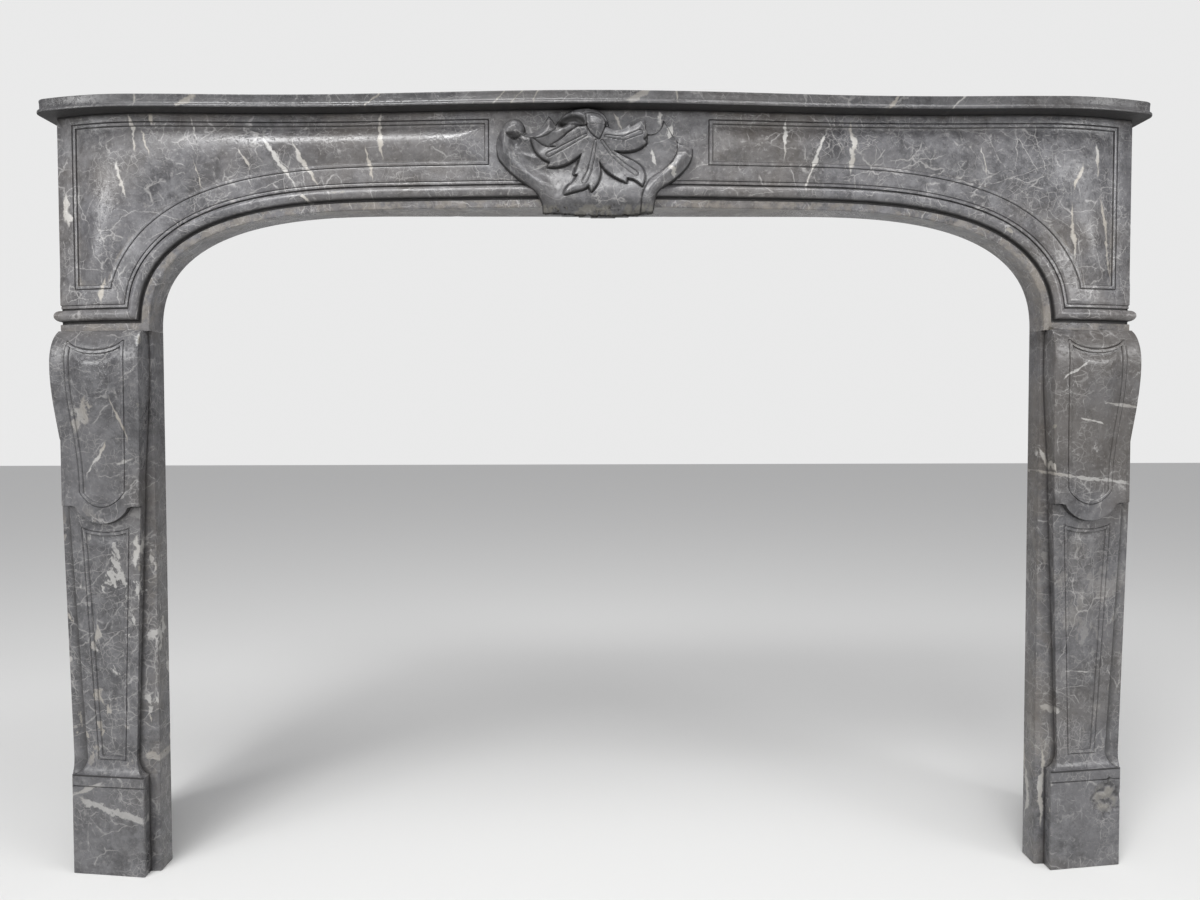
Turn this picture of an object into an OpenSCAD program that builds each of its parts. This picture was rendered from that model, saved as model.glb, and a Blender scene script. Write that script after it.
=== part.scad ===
// Fireplace mantel in the Louis XV manner, carved from veined grey marble.
// Four stones: two legs, a lintel with a carved cartouche, and the shelf.
// X runs along the wall, -Y is the room, +Y the wall, Z up from the hearth.
// The origin is on the floor, at the middle of the overall width and depth.

/* [Overall] */
// Width of the shelf from tip to tip
shelf_w = 1600; // [1560:10:1640]
// Depth from the middle of the shelf's front to the wall
depth = 270; // [260:5:320]
// Height of each leg
leg_h = 785; // [785:1:785]
// Height of the lintel
lintel_h = 307; // [300:1:315]
// Thickness of the shelf
shelf_t = 18.5; // [16:0.5:28]

/* [Front curve in plan] */
// How far the middle swells towards the room
bulge = 21.5; // [10:0.5:30]
// Distance from the middle to the bottom of the swell
bulge_run = 470; // [420:10:500]
// Small second swell before each end
second_swell = 2.5; // [0:0.5:5]
// Length of the second swell's rise
second_run = 150; // [100:10:160]
// How far each end falls back towards the wall
end_drop = 26; // [15:1:35]
// Length of the fall at each end
end_run = 140; // [110:5:150]

/* [Shelf] */
// How far the moulded edge stands out past the lintel
shelf_over = 21.5; // [15:0.5:30]
// How far the rounded nose stands out past the lower edge
nose = 5.5; // [3:0.5:6]
// Radius of each front corner in plan
corner_r = 12; // [8:1:30]

/* [Opening] */
// Half width of the hearth opening between the legs
open_half = 641; // [630:1:650]
// Height of the arch above the legs
arch_rise = 171; // [160:1:175]
// Width of each rounded shoulder of the arch
arch_run = 380; // [340:5:400]
// Thickness of the stone at the reveal
reveal = 34; // [30:1:45]

/* [Lintel] */
// Half width of the lintel
lintel_half = 780; // [775:1:785]
// Height of the bead that runs round the arch, above the face
bead_h = 7; // [4:0.5:9]
// Depth of each of the two steps into a panel
panel_step = 1.6; // [1:0.1:2.5]
// Swell of the panel's field
field_swell = 6; // [2:0.5:8]
// Distance from the middle to the inner end of each panel
panel_inner = 155; // [150:1:170]
// Flat margin above each panel
panel_top = 12; // [10:0.5:20]
// Flat margin at the outer end of each panel
panel_side = 25; // [20:1:35]
// Thickness of the slab that returns to the wall at each end
return_t = 45; // [40:1:60]

/* [Legs] */
// Half width of the console's base
base_half = 55.7; // [54:0.1:57]
// Height of the console's base
base_h = 143; // [135:1:145]
// Outward turn of the console in degrees
turn = 8.3; // [6:0.1:9]
// How far the scroll stands out past the base
scroll_out = 13; // [8:1:20]
// Extra half width at the scroll
scroll_wide = 12.5; // [6:0.5:13]
// Height of the scroll's fullest point
scroll_z = 737; // [730:1:742]
// Thickness of the slab that returns to the wall on each leg
leg_return = 36; // [30:1:40]

/* [Cartouche] */
// How far the shell stands out from the lintel
shell_out = 15; // [12:1:17]
// How far the leaves stand out from the shell
leaf_out = 4.5; // [3:0.5:5]

/* [Hidden] */
marble = [0.36, 0.35, 0.36];
marble_light = [0.44, 0.43, 0.44];

wall_y = depth / 2;
front_y = -depth / 2;
joint_z = leg_h;
lintel_top = leg_h + lintel_h;
// plane of the lintel's face and of the leg's strip, at the middle and the side
face_y = front_y + nose + shelf_over;
strip_y = face_y + 28.5;
reveal_y = strip_y + reveal;

// ---------- helpers ----------
function clamp01(t) = min(1, max(0, t));
function smooth(t) = 0.5 - 0.5 * cos(180 * clamp01(t));
function lerp(a, b, t) = a + (b - a) * t;
function unit(v) = v / norm(v);

// Fall of the front curve towards the wall at a distance a from the middle.
function plan(a, half) =
    bulge * smooth(a / bulge_run)
    - second_swell * smooth((a - bulge_run) / second_run)
    + end_drop * pow(clamp01((a - half + end_run) / end_run), 1.8);

// Two triangles of a quad a, b, c, d, cut from a to c or from b to d
function cut_quad(a, b, c, d, first) = first ? [[a, b, c], [a, c, d]] : [[b, c, d], [b, d, a]];

// Closed solid from a grid of front points and a flat back at y = back.
// Rows run from the arch outwards and columns from left to right, so the back
// is a band of quads between the first row and the last one.
module relief_solid(grid, back) {
    rows = len(grid);
    cols = len(grid[0]);
    front = [for (row = grid) for (p = row) p];
    total = rows * cols;
    flat = [for (p = concat(grid[0], grid[rows - 1])) [p.x, back, p.z]];
    ends = [for (c = [0, cols - 1]) for (r = [1:rows - 2]) [grid[r][c].x, back, grid[r][c].z]];
    // index of the back point behind row r of the first (e = 0) or last column
    function behind(e, r) = r == 0 ? total + e * (cols - 1) :
        r == rows - 1 ? total + cols + e * (cols - 1) :
        total + 2 * cols + e * (rows - 2) + r - 1;
    polyhedron(
        points = concat(front, flat, ends),
        faces = concat(
            [for (r = [0:rows - 2]) for (c = [0:cols - 2]) let (a = r * cols + c)
                each cut_quad(a, a + cols, a + cols + 1, a + 1, c < cols / 2)],
            [for (c = [0:cols - 2]) each cut_quad(c, c + 1, total + c + 1, total + c, true)],
            [for (c = [0:cols - 2]) let (a = total - cols + c, b = total + cols + c)
                each cut_quad(a + 1, a, b, b + 1, true)],
            [for (r = [0:rows - 2])
                each cut_quad((r + 1) * cols, r * cols, behind(0, r), behind(0, r + 1), true)],
            [for (r = [0:rows - 2]) let (a = r * cols + cols - 1)
                each cut_quad(a, a + cols, behind(1, r + 1), behind(1, r), true)],
            [for (c = [1:cols - 3]) let (a = total + c, b = a + cols)
                each cut_quad(b, a, a + 1, b + 1, true)],
            [concat([for (r = [rows - 1:-1:0]) behind(0, r)], [total + 1, total + cols + 1])],
            [concat([for (r = [0:rows - 1]) behind(1, r)],
                    [total + 2 * cols - 2, total + cols - 2])]));
}

// Closed solid from a stack of level rings, lowest first, each ring
// counter-clockwise from above and starting at a corner that sees the others.
module ring_solid(rings) {
    n = len(rings[0]);
    k = len(rings);
    polyhedron(
        points = [for (ring = rings) for (p = ring) p],
        faces = concat(
            [[for (i = [0:n - 1]) i]],
            [for (r = [0:k - 2]) for (i = [0:n - 1]) let (j = (i + 1) % n)
                each cut_quad(r * n + i, (r + 1) * n + i, (r + 1) * n + j, r * n + j, true)],
            [concat([(k - 1) * n], [for (i = [n - 1:-1:1]) (k - 1) * n + i])]));
}

// ---------- shelf ----------
// Edge from the underside up: [outward offset, height]
edge_profile = [[0, 0], [nose * 0.8, 0.05], [nose, 0.18], [nose * 0.85, 0.35],
                [nose * 0.45, 0.46], [nose * 0.45, 0.86], [nose * 0.6, 0.88], [nose * 0.6, 1]];
shelf_half = shelf_w / 2 - nose;
shelf_steps = 18;
corner_steps = 5;

// Place on the shelf's front at x, moved back by the given amount
function shelf_front(x, back) = [x, front_y + nose + plan(abs(x), shelf_half) + back];
// Rounded front corner on one side, from the front to the end of the shelf
function shelf_corner(side) = [for (i = [1:corner_steps])
    let (a = 90 * i / corner_steps)
    shelf_front(side * (shelf_half - corner_r + corner_r * sin(a)), corner_r * (1 - cos(a)))];

// Lower edge of the shelf in plan, from the left wall round to the right wall
function shelf_path() = let (left = shelf_corner(-1), run = shelf_half - corner_r) concat(
    [[-shelf_half, wall_y]],
    [for (i = [corner_steps - 1:-1:0]) left[i]],
    [for (i = [-shelf_steps:shelf_steps])
        shelf_front(run * (sin(90 * i / shelf_steps) + i / shelf_steps) / 2, 0)],
    shelf_corner(1),
    [[shelf_half, wall_y]]);

function edge_normal(a, b) = let (d = unit(b - a)) [d.y, -d.x];

// Path moved outwards by d, with its ends kept on the wall
function moved(path, d) = [for (i = [0:len(path) - 1])
    i == 0 ? path[0] - [d, 0] :
    i == len(path) - 1 ? path[i] + [d, 0] :
    let (m = edge_normal(path[i - 1], path[i]),
         n = edge_normal(path[i], path[i + 1]),
         s = unit(m + n))
    path[i] + s * d / (s * m)];

module shelf() {
    path = shelf_path();
    color(marble)
    ring_solid([for (e = edge_profile)
        [for (p = moved(path, e[0])) [p.x, p.y, lintel_top + shelf_t * e[1]]]]);
}

// ---------- lintel ----------
// Distances from the arch's edge at which the moulding changes
bead_in = 15;
bead_d = 16;
band_in = 38;
panel_in = 60;
stops = [0, 11, 12, bead_in, 16.5, 20.5, 25.5, 29.5, bead_in + bead_d, 33,
         band_in, band_in + 0.8, panel_in, panel_in + 1, panel_in + 4, panel_in + 5];

// Height of the moulding over the lintel's face at a distance d from the edge
function moulding(d) =
    d < 11.5 ? 0 :
    d < bead_in ? -2 :
    d <= bead_in + bead_d ?
        bead_h * sqrt(max(0, 1 - pow((d - bead_in) * 2 / bead_d - 1, 2))) - 1 :
    d < 33.5 ? -2.5 :
    d < band_in + 0.4 ? -1.2 : 0;

// Arch: a point at parameter t, in degrees from the joint to the crown
arch_p = 3;
arch_q = 2.5;
function arch(t) = [open_half - arch_run + arch_run * pow(max(0, cos(t)), 2 / arch_p),
                    arch_rise * pow(max(0, sin(t)), 2 / arch_q)];
function arch_at(z) = [open_half - arch_run
    + arch_run * pow(max(0, 1 - pow(z / arch_rise, arch_q)), 1 / arch_p), z];
// Outward normal of the arch at a point p on it
function arch_n(p) = let (a = max(0, p.x - open_half + arch_run) / arch_run, b = p[1] / arch_rise)
    unit([arch_p / arch_run * pow(a, arch_p - 1) + 1e-6,
          arch_q / arch_rise * pow(b, arch_q - 1) + 1e-6]);

// Stations along the right half of the arch: [point, ray direction, panel level]
arch_steps = 13;
t_start = asin(pow((panel_in + 5) / arch_rise, arch_q / 2));
ins = panel_inner;
crown_xs = [205, ins + 5, ins + 4, ins + 1, ins, 100, 45, 0];
function low_level(z) = z <= panel_in ? 0 : z <= panel_in + 4 ? 1 : 2;
function crown_level(x) = x > ins + 4.5 ? 2 : x > ins + 0.5 ? 1 : 0;
stations = concat(
    [for (z = stops) [arch_at(z), [1, 0], low_level(z)]],
    [for (i = [1:arch_steps])
        let (p = arch(lerp(t_start, 90, i / arch_steps)),
             n = arch_n(p),
             w = smooth((p[1] - panel_in) / 50),
             a = atan2(n[1], n.x) * w)
        [p, [cos(a), sin(a)], 2]],
    [for (x = crown_xs) [[x, arch_rise], [0, 1], crown_level(x)]]);

// Distance along a ray from p in direction d to the box edge [x, z]
function reach(p, d, box) = min(
    d.x > 1e-6 ? (box.x - p.x) / d.x : 1e9,
    d[1] > 1e-6 ? (box[1] - p[1]) / d[1] : 1e9);
// First station whose ray meets the top and not the end of the lintel
function turn_index(i = 0) =
    let (s = stations[i], k = s[0] + s[1] * reach(s[0], s[1], [lintel_half, lintel_h]))
    k[1] > lintel_h - 0.01 ? i : turn_index(i + 1);
corner_i = turn_index();
function edge_box(d) = [lintel_half - panel_side - d, lintel_h - panel_top - d];
outer_boxes = [edge_box(5), edge_box(4), edge_box(1), edge_box(0), [lintel_half, lintel_h]];
field_parts = [0.2, 0.5, 0.8];

function on_box(i, box) = i == corner_i ? box :
    let (s = stations[i]) s[0] + s[1] * reach(s[0], s[1], box);
function level_point(i, j) = let (s = stations[i], p = s[0], dir = s[1], m = len(stops)) (
    j < m ? p + dir * stops[j] / (dir * arch_n(p)) :
    j < m + 3 ? lerp(level_point(i, m - 1), on_box(i, outer_boxes[0]), field_parts[j - m]) :
    on_box(i, outer_boxes[j - m - 3]));
levels = len(stops) + len(field_parts) + len(outer_boxes);
function level_step(j) = let (m = len(stops)) (
    j < m - 3 ? 0 : j < m - 1 ? 1 : j <= m + 3 ? 2 : j <= m + 5 ? 1 : 0);

// Relief of the face at station i and level j
function face_relief(i, j) =
    let (m = len(stops), z = i < m ? stops[i] : 1e3, d = j < m ? stops[j] : 1e3,
         step = min(stations[i][2], level_step(j)),
         k = step == 2 && j >= m && j < m + 3 ? smooth(field_parts[j - m] / 0.5) : 0,
         e = j >= m && j < m + 3 && field_parts[j - m] > 0.5
             ? smooth((1 - field_parts[j - m]) / 0.5) : k)
    moulding(min(z, d)) - panel_step * step + (step == 2 ? field_swell * e : 0);

function face_point(i, j, side) = let (p = level_point(i, j))
    [side * p.x, face_y + plan(p.x, lintel_half) - face_relief(i, j), joint_z + p[1]];

function face_grid() = let (n = len(stations)) [for (j = [0:levels - 1]) concat(
    [for (i = [0:n - 1]) face_point(i, j, -1)],
    [for (i = [n - 2:-1:0]) face_point(i, j, 1)])];

// Bar from the lintel's front corner to the wall, with its long edges eased.
// It stands out past the end by out, between heights z0 and z1.
ease = 1.5;
corner_y = face_y + plan(lintel_half, lintel_half);
module return_bar(out, z0, z1, thick, front) {
    x1 = lintel_half + out;
    hull()
        for (z = [z0 + ease, z1 - ease]) for (x = [x1 - thick, x1 - ease])
            translate([x, front, joint_z + z])
                rotate([-90, 0, 0]) cylinder(r = ease, h = wall_y - front, $fn = 12);
}

// The end of the lintel: a slab back to the wall, and the mouldings on it
module lintel_return() {
    return_bar(0, 0, panel_in, return_t - ease, corner_y + 2);
    return_bar(0, panel_in - 4, lintel_h, return_t - ease, corner_y + 2);
    return_bar(1.5, band_in - 4, band_in, 12, corner_y + 2);
    hull()
        for (y = [corner_y, wall_y - bead_d / 2])
            translate([lintel_half, y, joint_z + bead_in + bead_d / 2])
                sphere(r = bead_d / 2, $fn = 16);
}

// ---------- cartouche ----------
// Middle of the shell, above the joint
shell_mid = 235;
// Outline of the shell round its middle: [angle, radius]
outline_key = [
    [-180, 139], [-168, 117], [-155, 100], [-146, 98], [-137, 107], [-115, 83], [-93, 75],
    [-66, 81], [-45, 105], [-34, 93], [-24, 92], [-14, 106], [4, 128], [9, 126],
    [19, 106], [32, 101], [44, 80], [60, 58], [80, 62], [107, 73], [126, 77],
    [142, 88], [153, 128], [162, 143], [172, 145], [180, 139]];
function key_at(a, i = 0) = a <= outline_key[i + 1][0]
    ? lerp(outline_key[i][1], outline_key[i + 1][1],
           smooth((a - outline_key[i][0]) / (outline_key[i + 1][0] - outline_key[i][0])))
    : key_at(a, i + 1);

// Height of the shell over the lintel's face: a dish with a rounded rim that
// swells and rolls forwards at the foot. q runs from 0 inside to 1 on the rim.
function shell_h(z, q) =
    (shell_out * (0.55 + 0.45 * smooth((q - 0.5) / 0.4)) + 6 * smooth((-z - 20) / 40))
    * pow(max(0, 1 - pow(q, 5)), 0.4);
rays = 38;
rings = [0.999, 0.96, 0.87, 0.76, 0.62, 0.4];

module shell_body() {
    pts = [for (q = rings) for (k = [0:rays - 1])
        let (a = -180 + 360 * k / rays, r = key_at(a) * q, x = r * cos(a), z = r * sin(a))
        [x, face_y + plan(abs(x), lintel_half) - shell_h(z, q), joint_z + shell_mid + z]];
    back = [for (i = [0:rays - 1]) [pts[i].x, face_y + 16, pts[i].z]];
    k = len(rings);
    total = k * rays;
    mid = [0, face_y - shell_h(0, 0), joint_z + shell_mid];
    polyhedron(
        points = concat(pts, back, [mid, [0, face_y + 16, mid.z]]),
        faces = concat(
            [for (r = [0:k - 2]) for (i = [0:rays - 1]) let (a = r * rays, j = (i + 1) % rays)
                each cut_quad(a + i, a + rays + i, a + rays + j, a + j, true)],
            [for (i = [0:rays - 1]) let (j = (i + 1) % rays)
                [total - rays + i, total + rays, total - rays + j]],
            [for (i = [0:rays - 1]) let (j = (i + 1) % rays)
                each cut_quad(i, j, total + j, total + i, true)],
            [for (i = [0:rays - 1]) let (j = (i + 1) % rays)
                [total + j, total + rays + 1, total + i]]));
}

// Leaves fan out from under the hood: [tip angle, length, half width, bend]
leaves = [[-171, 64, 13, 7], [-157, 84, 18, 6], [-106, 80, 16, -5],
          [-46, 92, 16, -6], [9, 72, 19, 4]];
heart = [-3, 34];
leaf_steps = 7;

// Half width of a leaf of half width w at t, with three lobes on each side
function lobed(w, t) = w * pow(sin(180 * pow(t, 0.9)), 0.6) * (0.78 + 0.22 * abs(cos(450 * t)));

module leaf(tip, length, half, bend) {
    dir = [cos(tip), sin(tip)];
    across = [-dir[1], dir.x];
    // cross-section from one edge to the other: [part of half width, height]
    cut = [[-1, 0.4], [-0.8, 1], [0, 0.4], [0.8, 1], [1, 0.4]];
    m = len(cut);
    rows = [for (i = [0:leaf_steps])
        let (t = 0.04 + 0.95 * i / leaf_steps,
             spine = heart + dir * length * t + across * bend * sin(180 * t),
             arch_up = leaf_out * (0.6 + 0.7 * sin(180 * pow(t, 1.4))))
        [for (c = cut)
            let (p = spine + across * c[0] * lobed(half, t),
                 q = norm(p) / key_at(atan2(p[1], p.x)))
            [p.x, face_y + plan(abs(p.x), lintel_half) - shell_h(p[1], min(q, 0.9))
                - arch_up * c[1], joint_z + shell_mid + p[1]]]];
    flat = [for (row = rows) [for (p = row) [p.x, face_y + 4, p.z]]];
    function at(r, c, layer) = layer * len(rows) * m + r * m + c;
    polyhedron(
        points = concat([for (row = rows) for (p = row) p], [for (row = flat) for (p = row) p]),
        faces = concat(
            [for (r = [0:leaf_steps - 1]) for (c = [0:m - 2])
                each cut_quad(at(r, c, 0), at(r, c + 1, 0), at(r + 1, c + 1, 0),
                              at(r + 1, c, 0), true)],
            [for (r = [0:leaf_steps - 1]) for (c = [0:m - 2])
                each cut_quad(at(r, c, 1), at(r + 1, c, 1), at(r + 1, c + 1, 1),
                              at(r, c + 1, 1), true)],
            [for (r = [0:leaf_steps - 1])
                each cut_quad(at(r, 0, 0), at(r + 1, 0, 0), at(r + 1, 0, 1), at(r, 0, 1), true)],
            [for (r = [0:leaf_steps - 1])
                each cut_quad(at(r, m - 1, 1), at(r + 1, m - 1, 1), at(r + 1, m - 1, 0),
                              at(r, m - 1, 0), true)],
            [for (c = [0:m - 2])
                each cut_quad(at(0, c, 0), at(0, c, 1), at(0, c + 1, 1), at(0, c + 1, 0), true)],
            [for (c = [0:m - 2])
                each cut_quad(at(leaf_steps, c, 1), at(leaf_steps, c, 0),
                              at(leaf_steps, c + 1, 0), at(leaf_steps, c + 1, 1), true)]));
}

// Rounded boss pressed into the shell, at [x, z] from its middle
module boss(x, z, half_x, half_z, out) {
    translate([x, face_y + plan(abs(x), lintel_half) - out, joint_z + shell_mid + z])
        scale([half_x, 13, half_z]) sphere(r = 1, $fn = 12);
}

module cartouche() {
    shell_body();
    for (l = leaves) leaf(l[0], l[1], l[2], l[3]);
    boss(-116, 44, 14, 14, 8);
    boss(-16, 54, 36, 17, 9);
    boss(0, 45, 12, 19, 13);
}

module lintel() {
    color(marble_light) {
        relief_solid(face_grid(), reveal_y);
        for (side = [0, 1]) mirror([side, 0, 0]) lintel_return();
        cartouche();
    }
}

// ---------- legs ----------
// Middle of the console's base face, and the face's own directions
base_mid = [open_half + 69.5, strip_y - 14];
along = [cos(turn), sin(turn)];
outward = [sin(turn), -cos(turn)];
tongue_z = 535;
shaft_low = 168;
shaft_narrow = 17;
shaft_back = 11.5;
return_out = 776;

// Hollow in which the shaft spreads to the base: 0 on the base, 1 at its top
function hollow(z) = sqrt(1 - pow((shaft_low - z) / (shaft_low - base_h), 2));
// Half width and outward place of the console's face below the tongue
function shaft_half(z) = base_half + (
    z <= base_h ? 0 :
    z < shaft_low ? -shaft_narrow * hollow(z) :
    lerp(-shaft_narrow, 0, (z - shaft_low) / (tongue_z - shaft_low)));
function shaft_out(z) =
    z <= base_h ? 0 :
    z < shaft_low ? -shaft_back * hollow(z) :
    lerp(-shaft_back, -5.5, (z - shaft_low) / (tongue_z - shaft_low));
// The same for the scroll: it swells to scroll_z and then rolls back
function roll(z) = sqrt(max(0, 1 - pow(clamp01((z - scroll_z) / (leg_h + 1.5 - scroll_z)), 2)));
function scroll_half(z) = base_half + (z < scroll_z
    ? lerp(1.5, scroll_wide, smooth((z - tongue_z - 15) / (scroll_z - tongue_z - 15)))
    : lerp(scroll_wide / 2, scroll_wide, roll(z)));
function scroll_face(z) = z < scroll_z
    ? lerp(0, scroll_out, smooth((z - tongue_z - 35) / (scroll_z - tongue_z - 35)))
      + 1.6 * smooth((tongue_z + 30 - z) / 30)
    : lerp(-8, scroll_out, roll(z));

// Rows up the console: [height, sag of the row at the middle, panel step]
rows_low = [[0, 0, 0], [base_h, 0, 0],
            [144, 0, 0], [146, 0, 0], [150, 0, 0], [157, 0, 0], [164, 0, 0],
            [165, 0, 1], [shaft_low, 0, 1], [170, 0, 2], [340, 0, 2],
            [470, 2, 2], [499, 9.5, 2], [500, 9.5, 1], [506, 9.5, 1], [507, 9.5, 0],
            [tongue_z, 25, 0]];
rows_high = [[tongue_z + 1, 25, 0], [558, 32, 0], [570, 37, 0], [571, 37, 1], [575, 37, 1],
             [576, 37, 2], [610, 14, 2], [640, 2, 2], [675, 0, 2], [710, 0, 2],
             [735, 4, 2], [750, 9, 2], [764, 13, 2], [765, 13, 1], [769, 13, 1], [770, 13, 0],
             [777, 6, 0], [782, 1, 0], [leg_h, 0, 0]];

// Distances in from the edge at which the columns run up to the panel, after a
// flat margin on the shaft and on the scroll
shaft_margin = 17;
scroll_margin = 22.5;
panel_lines = [0, 1, 4.5, 5.5];
function gap(k, margin) = k == 0 ? 0 : margin + panel_lines[k - 1];
function col_x(c, half, margin) =
    c < 5 ? -half + gap(c, margin) :
    c < 8 ? (half - gap(4, margin)) * (c - 6) / 2 :
    half - gap(12 - c, margin);
function col_step(c) = let (k = min(c, 12 - c)) k < 2 ? 0 : k < 4 ? 1 : 2;

function console_point(row, c, high) =
    let (half = high ? scroll_half(row[0]) : shaft_half(row[0]),
         x = col_x(c, half, high ? scroll_margin : shaft_margin),
         z = row[0] - row[1] * pow(max(0, 1 - pow(x / 41, 2)), 0.7),
         out = high ? scroll_face(z) : shaft_out(z),
         step = min(row[2], col_step(c)),
         p = base_mid + along * x + outward * (out - panel_step * step
             + (step == 2 ? 1.2 * cos(90 * x / half) : 0)))
    [p.x, p.y, z];

// Section of the leg on one row, from the inner corner of its L, counter-clockwise
function leg_section(row, high) =
    let (z = row[0],
         face = [for (c = [0:12]) console_point(row, c, high)],
         in_p = face[0], out_p = face[12],
         back_y = max(out_p.y + 1, strip_y),
         side_x = z <= base_h ? return_out - 8 :
                  return_out - 8 * clamp01((tongue_z - z) / (tongue_z - base_h)))
    concat(
        [[side_x - leg_return, reveal_y, z]],
        [[open_half, reveal_y, z], [open_half, strip_y, z], [in_p.x + 0.5, strip_y, z]],
        face,
        [[out_p.x + 0.5, back_y, z], [side_x, back_y + 0.5, z], [side_x, wall_y, z],
         [side_x - leg_return, wall_y, z]]);

module leg() {
    ring_solid(concat([for (row = rows_low) leg_section(row, false)],
                      [for (row = rows_high) leg_section(row, true)]));
}

module right_leg() {
    color(marble) leg();
}

module left_leg() {
    color(marble) mirror([1, 0, 0]) leg();
}

shelf();
lintel();
left_leg();
right_leg();
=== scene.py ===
"""A fireplace mantel of veined grey marble: fine carving and looks around its CAD frame."""

import math

import bpy
import numpy as np
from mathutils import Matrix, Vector


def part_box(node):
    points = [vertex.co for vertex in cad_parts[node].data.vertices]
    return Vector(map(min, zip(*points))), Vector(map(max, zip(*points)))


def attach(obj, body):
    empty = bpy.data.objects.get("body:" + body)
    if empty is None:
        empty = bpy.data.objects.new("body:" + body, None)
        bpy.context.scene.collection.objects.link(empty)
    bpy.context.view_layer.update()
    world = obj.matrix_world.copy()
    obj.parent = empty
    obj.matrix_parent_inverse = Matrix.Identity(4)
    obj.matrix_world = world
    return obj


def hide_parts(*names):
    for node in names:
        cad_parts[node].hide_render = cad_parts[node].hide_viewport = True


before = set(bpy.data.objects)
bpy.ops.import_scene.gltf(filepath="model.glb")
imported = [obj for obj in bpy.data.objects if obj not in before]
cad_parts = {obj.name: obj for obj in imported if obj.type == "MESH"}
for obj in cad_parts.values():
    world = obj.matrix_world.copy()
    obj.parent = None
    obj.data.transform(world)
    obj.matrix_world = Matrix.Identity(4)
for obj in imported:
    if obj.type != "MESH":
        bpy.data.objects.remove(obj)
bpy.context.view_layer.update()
MM = 0.001

# ---------- sizes, in millimetres, as the CAD has them ----------
shelf_low, shelf_high = (v * 1000 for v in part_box("shelf"))
leg_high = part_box("left_leg")[1] * 1000
WALL_Y = shelf_high.y
FRONT_Y = shelf_low.y
JOINT_Z = leg_high.z
LINTEL_TOP = shelf_low.z
LINTEL_H = LINTEL_TOP - JOINT_Z
NOSE = 5.5
SHELF_OVER = 21.5
STRIP_IN = 28.5
REVEAL = 34
FACE_Y = FRONT_Y + NOSE + SHELF_OVER
STRIP_Y = FACE_Y + STRIP_IN
REVEAL_Y = STRIP_Y + REVEAL
SHELF_HALF = shelf_high.x - NOSE
LINTEL_HALF = 780.0
OPEN_HALF = 641.0

# The front curve in plan: how far each part of it falls back, and over what run
BULGE, BULGE_RUN = 21.5, 470
SECOND_SWELL, SECOND_RUN = 2.5, 150
END_DROP, END_RUN = 26, 140


# ---------- small maths ----------
def smooth(t):
    """0 below t = 0 and 1 above t = 1, with a soft rise between."""
    return 0.5 - 0.5 * np.cos(np.pi * np.clip(t, 0, 1))


def lerp(a, b, t):
    """The value a share t of the way from a to b."""
    return a + (b - a) * t


def plan(a, half):
    """Fall of the front curve towards the wall at a distance a from the middle."""
    fall = BULGE * smooth(a / BULGE_RUN) - SECOND_SWELL * smooth((a - BULGE_RUN) / SECOND_RUN)
    return fall + END_DROP * np.clip((a - half + END_RUN) / END_RUN, 0, 1) ** 1.8


def hump(d, half_width):
    """1 at d = 0, falling smoothly to 0 at half_width."""
    return smooth(1 - np.abs(d) / half_width)


LATTICE_SIZE = 40
LATTICE = np.random.RandomState(7).rand(LATTICE_SIZE, LATTICE_SIZE, LATTICE_SIZE)


def noise(points, size, seed=0):
    """Smooth noise from 0 to 1 with features about size mm across."""
    p = np.asarray(points, float) / size + 17.3 * (seed + 1)
    base = np.floor(p).astype(int)
    f = p - base
    f = f * f * (3 - 2 * f)
    total = 0.0
    for corner in range(8):
        step = np.array([corner & 1, corner >> 1 & 1, corner >> 2 & 1])
        i = (base + step) % LATTICE_SIZE
        weight = np.prod(np.where(step == 1, f, 1 - f), axis=-1)
        total = total + weight * LATTICE[i[..., 0], i[..., 1], i[..., 2]]
    return total


def chips(points, size, seed, share=0.3):
    """0 on sound stone, up to 1 in the middle of a chip."""
    n = 0.65 * noise(points, size, seed) + 0.35 * noise(points, size / 3, seed + 5)
    edge = 1 - share * 0.7
    return np.clip((n - edge) / (1 - edge) * 2.5, 0, 1)


# ---------- meshes ----------
def make(name, verts, faces, marks, node, sharp=34):
    """A smooth-shaded mesh in place of a CAD node. marks are per-vertex values from 0 to 1."""
    mesh = bpy.data.meshes.new(name)
    mesh.from_pydata((np.asarray(verts) * MM).tolist(), [], faces)
    mesh.polygons.foreach_set("use_smooth", [True] * len(mesh.polygons))
    mesh.set_sharp_from_angle(angle=math.radians(sharp))
    for key in ("shade_and_grime", "wear", "stain"):
        values = marks.get(key, np.zeros(len(verts)))
        layer = mesh.attributes.new(key, "FLOAT", "POINT")
        layer.data.foreach_set("value", np.clip(values, 0, 1).astype(np.float32))
    piece = bpy.data.objects.new(name, mesh)
    bpy.context.scene.collection.objects.link(piece)
    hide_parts(node)
    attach(piece, "root")
    return piece


def quads(rows, cols, start=0, turned=False, wrap=False):
    """Quads over a grid of points stored row by row."""
    out = []
    for r in range(rows - 1):
        for c in range(cols if wrap else cols - 1):
            a = start + r * cols + c
            b = start + r * cols + (c + 1) % cols
            out.append((a, b, b + cols, a + cols) if turned else (a, a + cols, b + cols, b))
    return out


def ring_faces(rows, cols, side):
    """Faces of closed rings stacked upwards, with flat ends, for the right or left side."""
    faces = quads(rows, cols, turned=side > 0, wrap=True)
    cap = tuple(range(cols))
    top = tuple((rows - 1) * cols + c for c in range(cols))
    return faces + ([cap[::-1], top] if side > 0 else [cap, top[::-1]])


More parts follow.
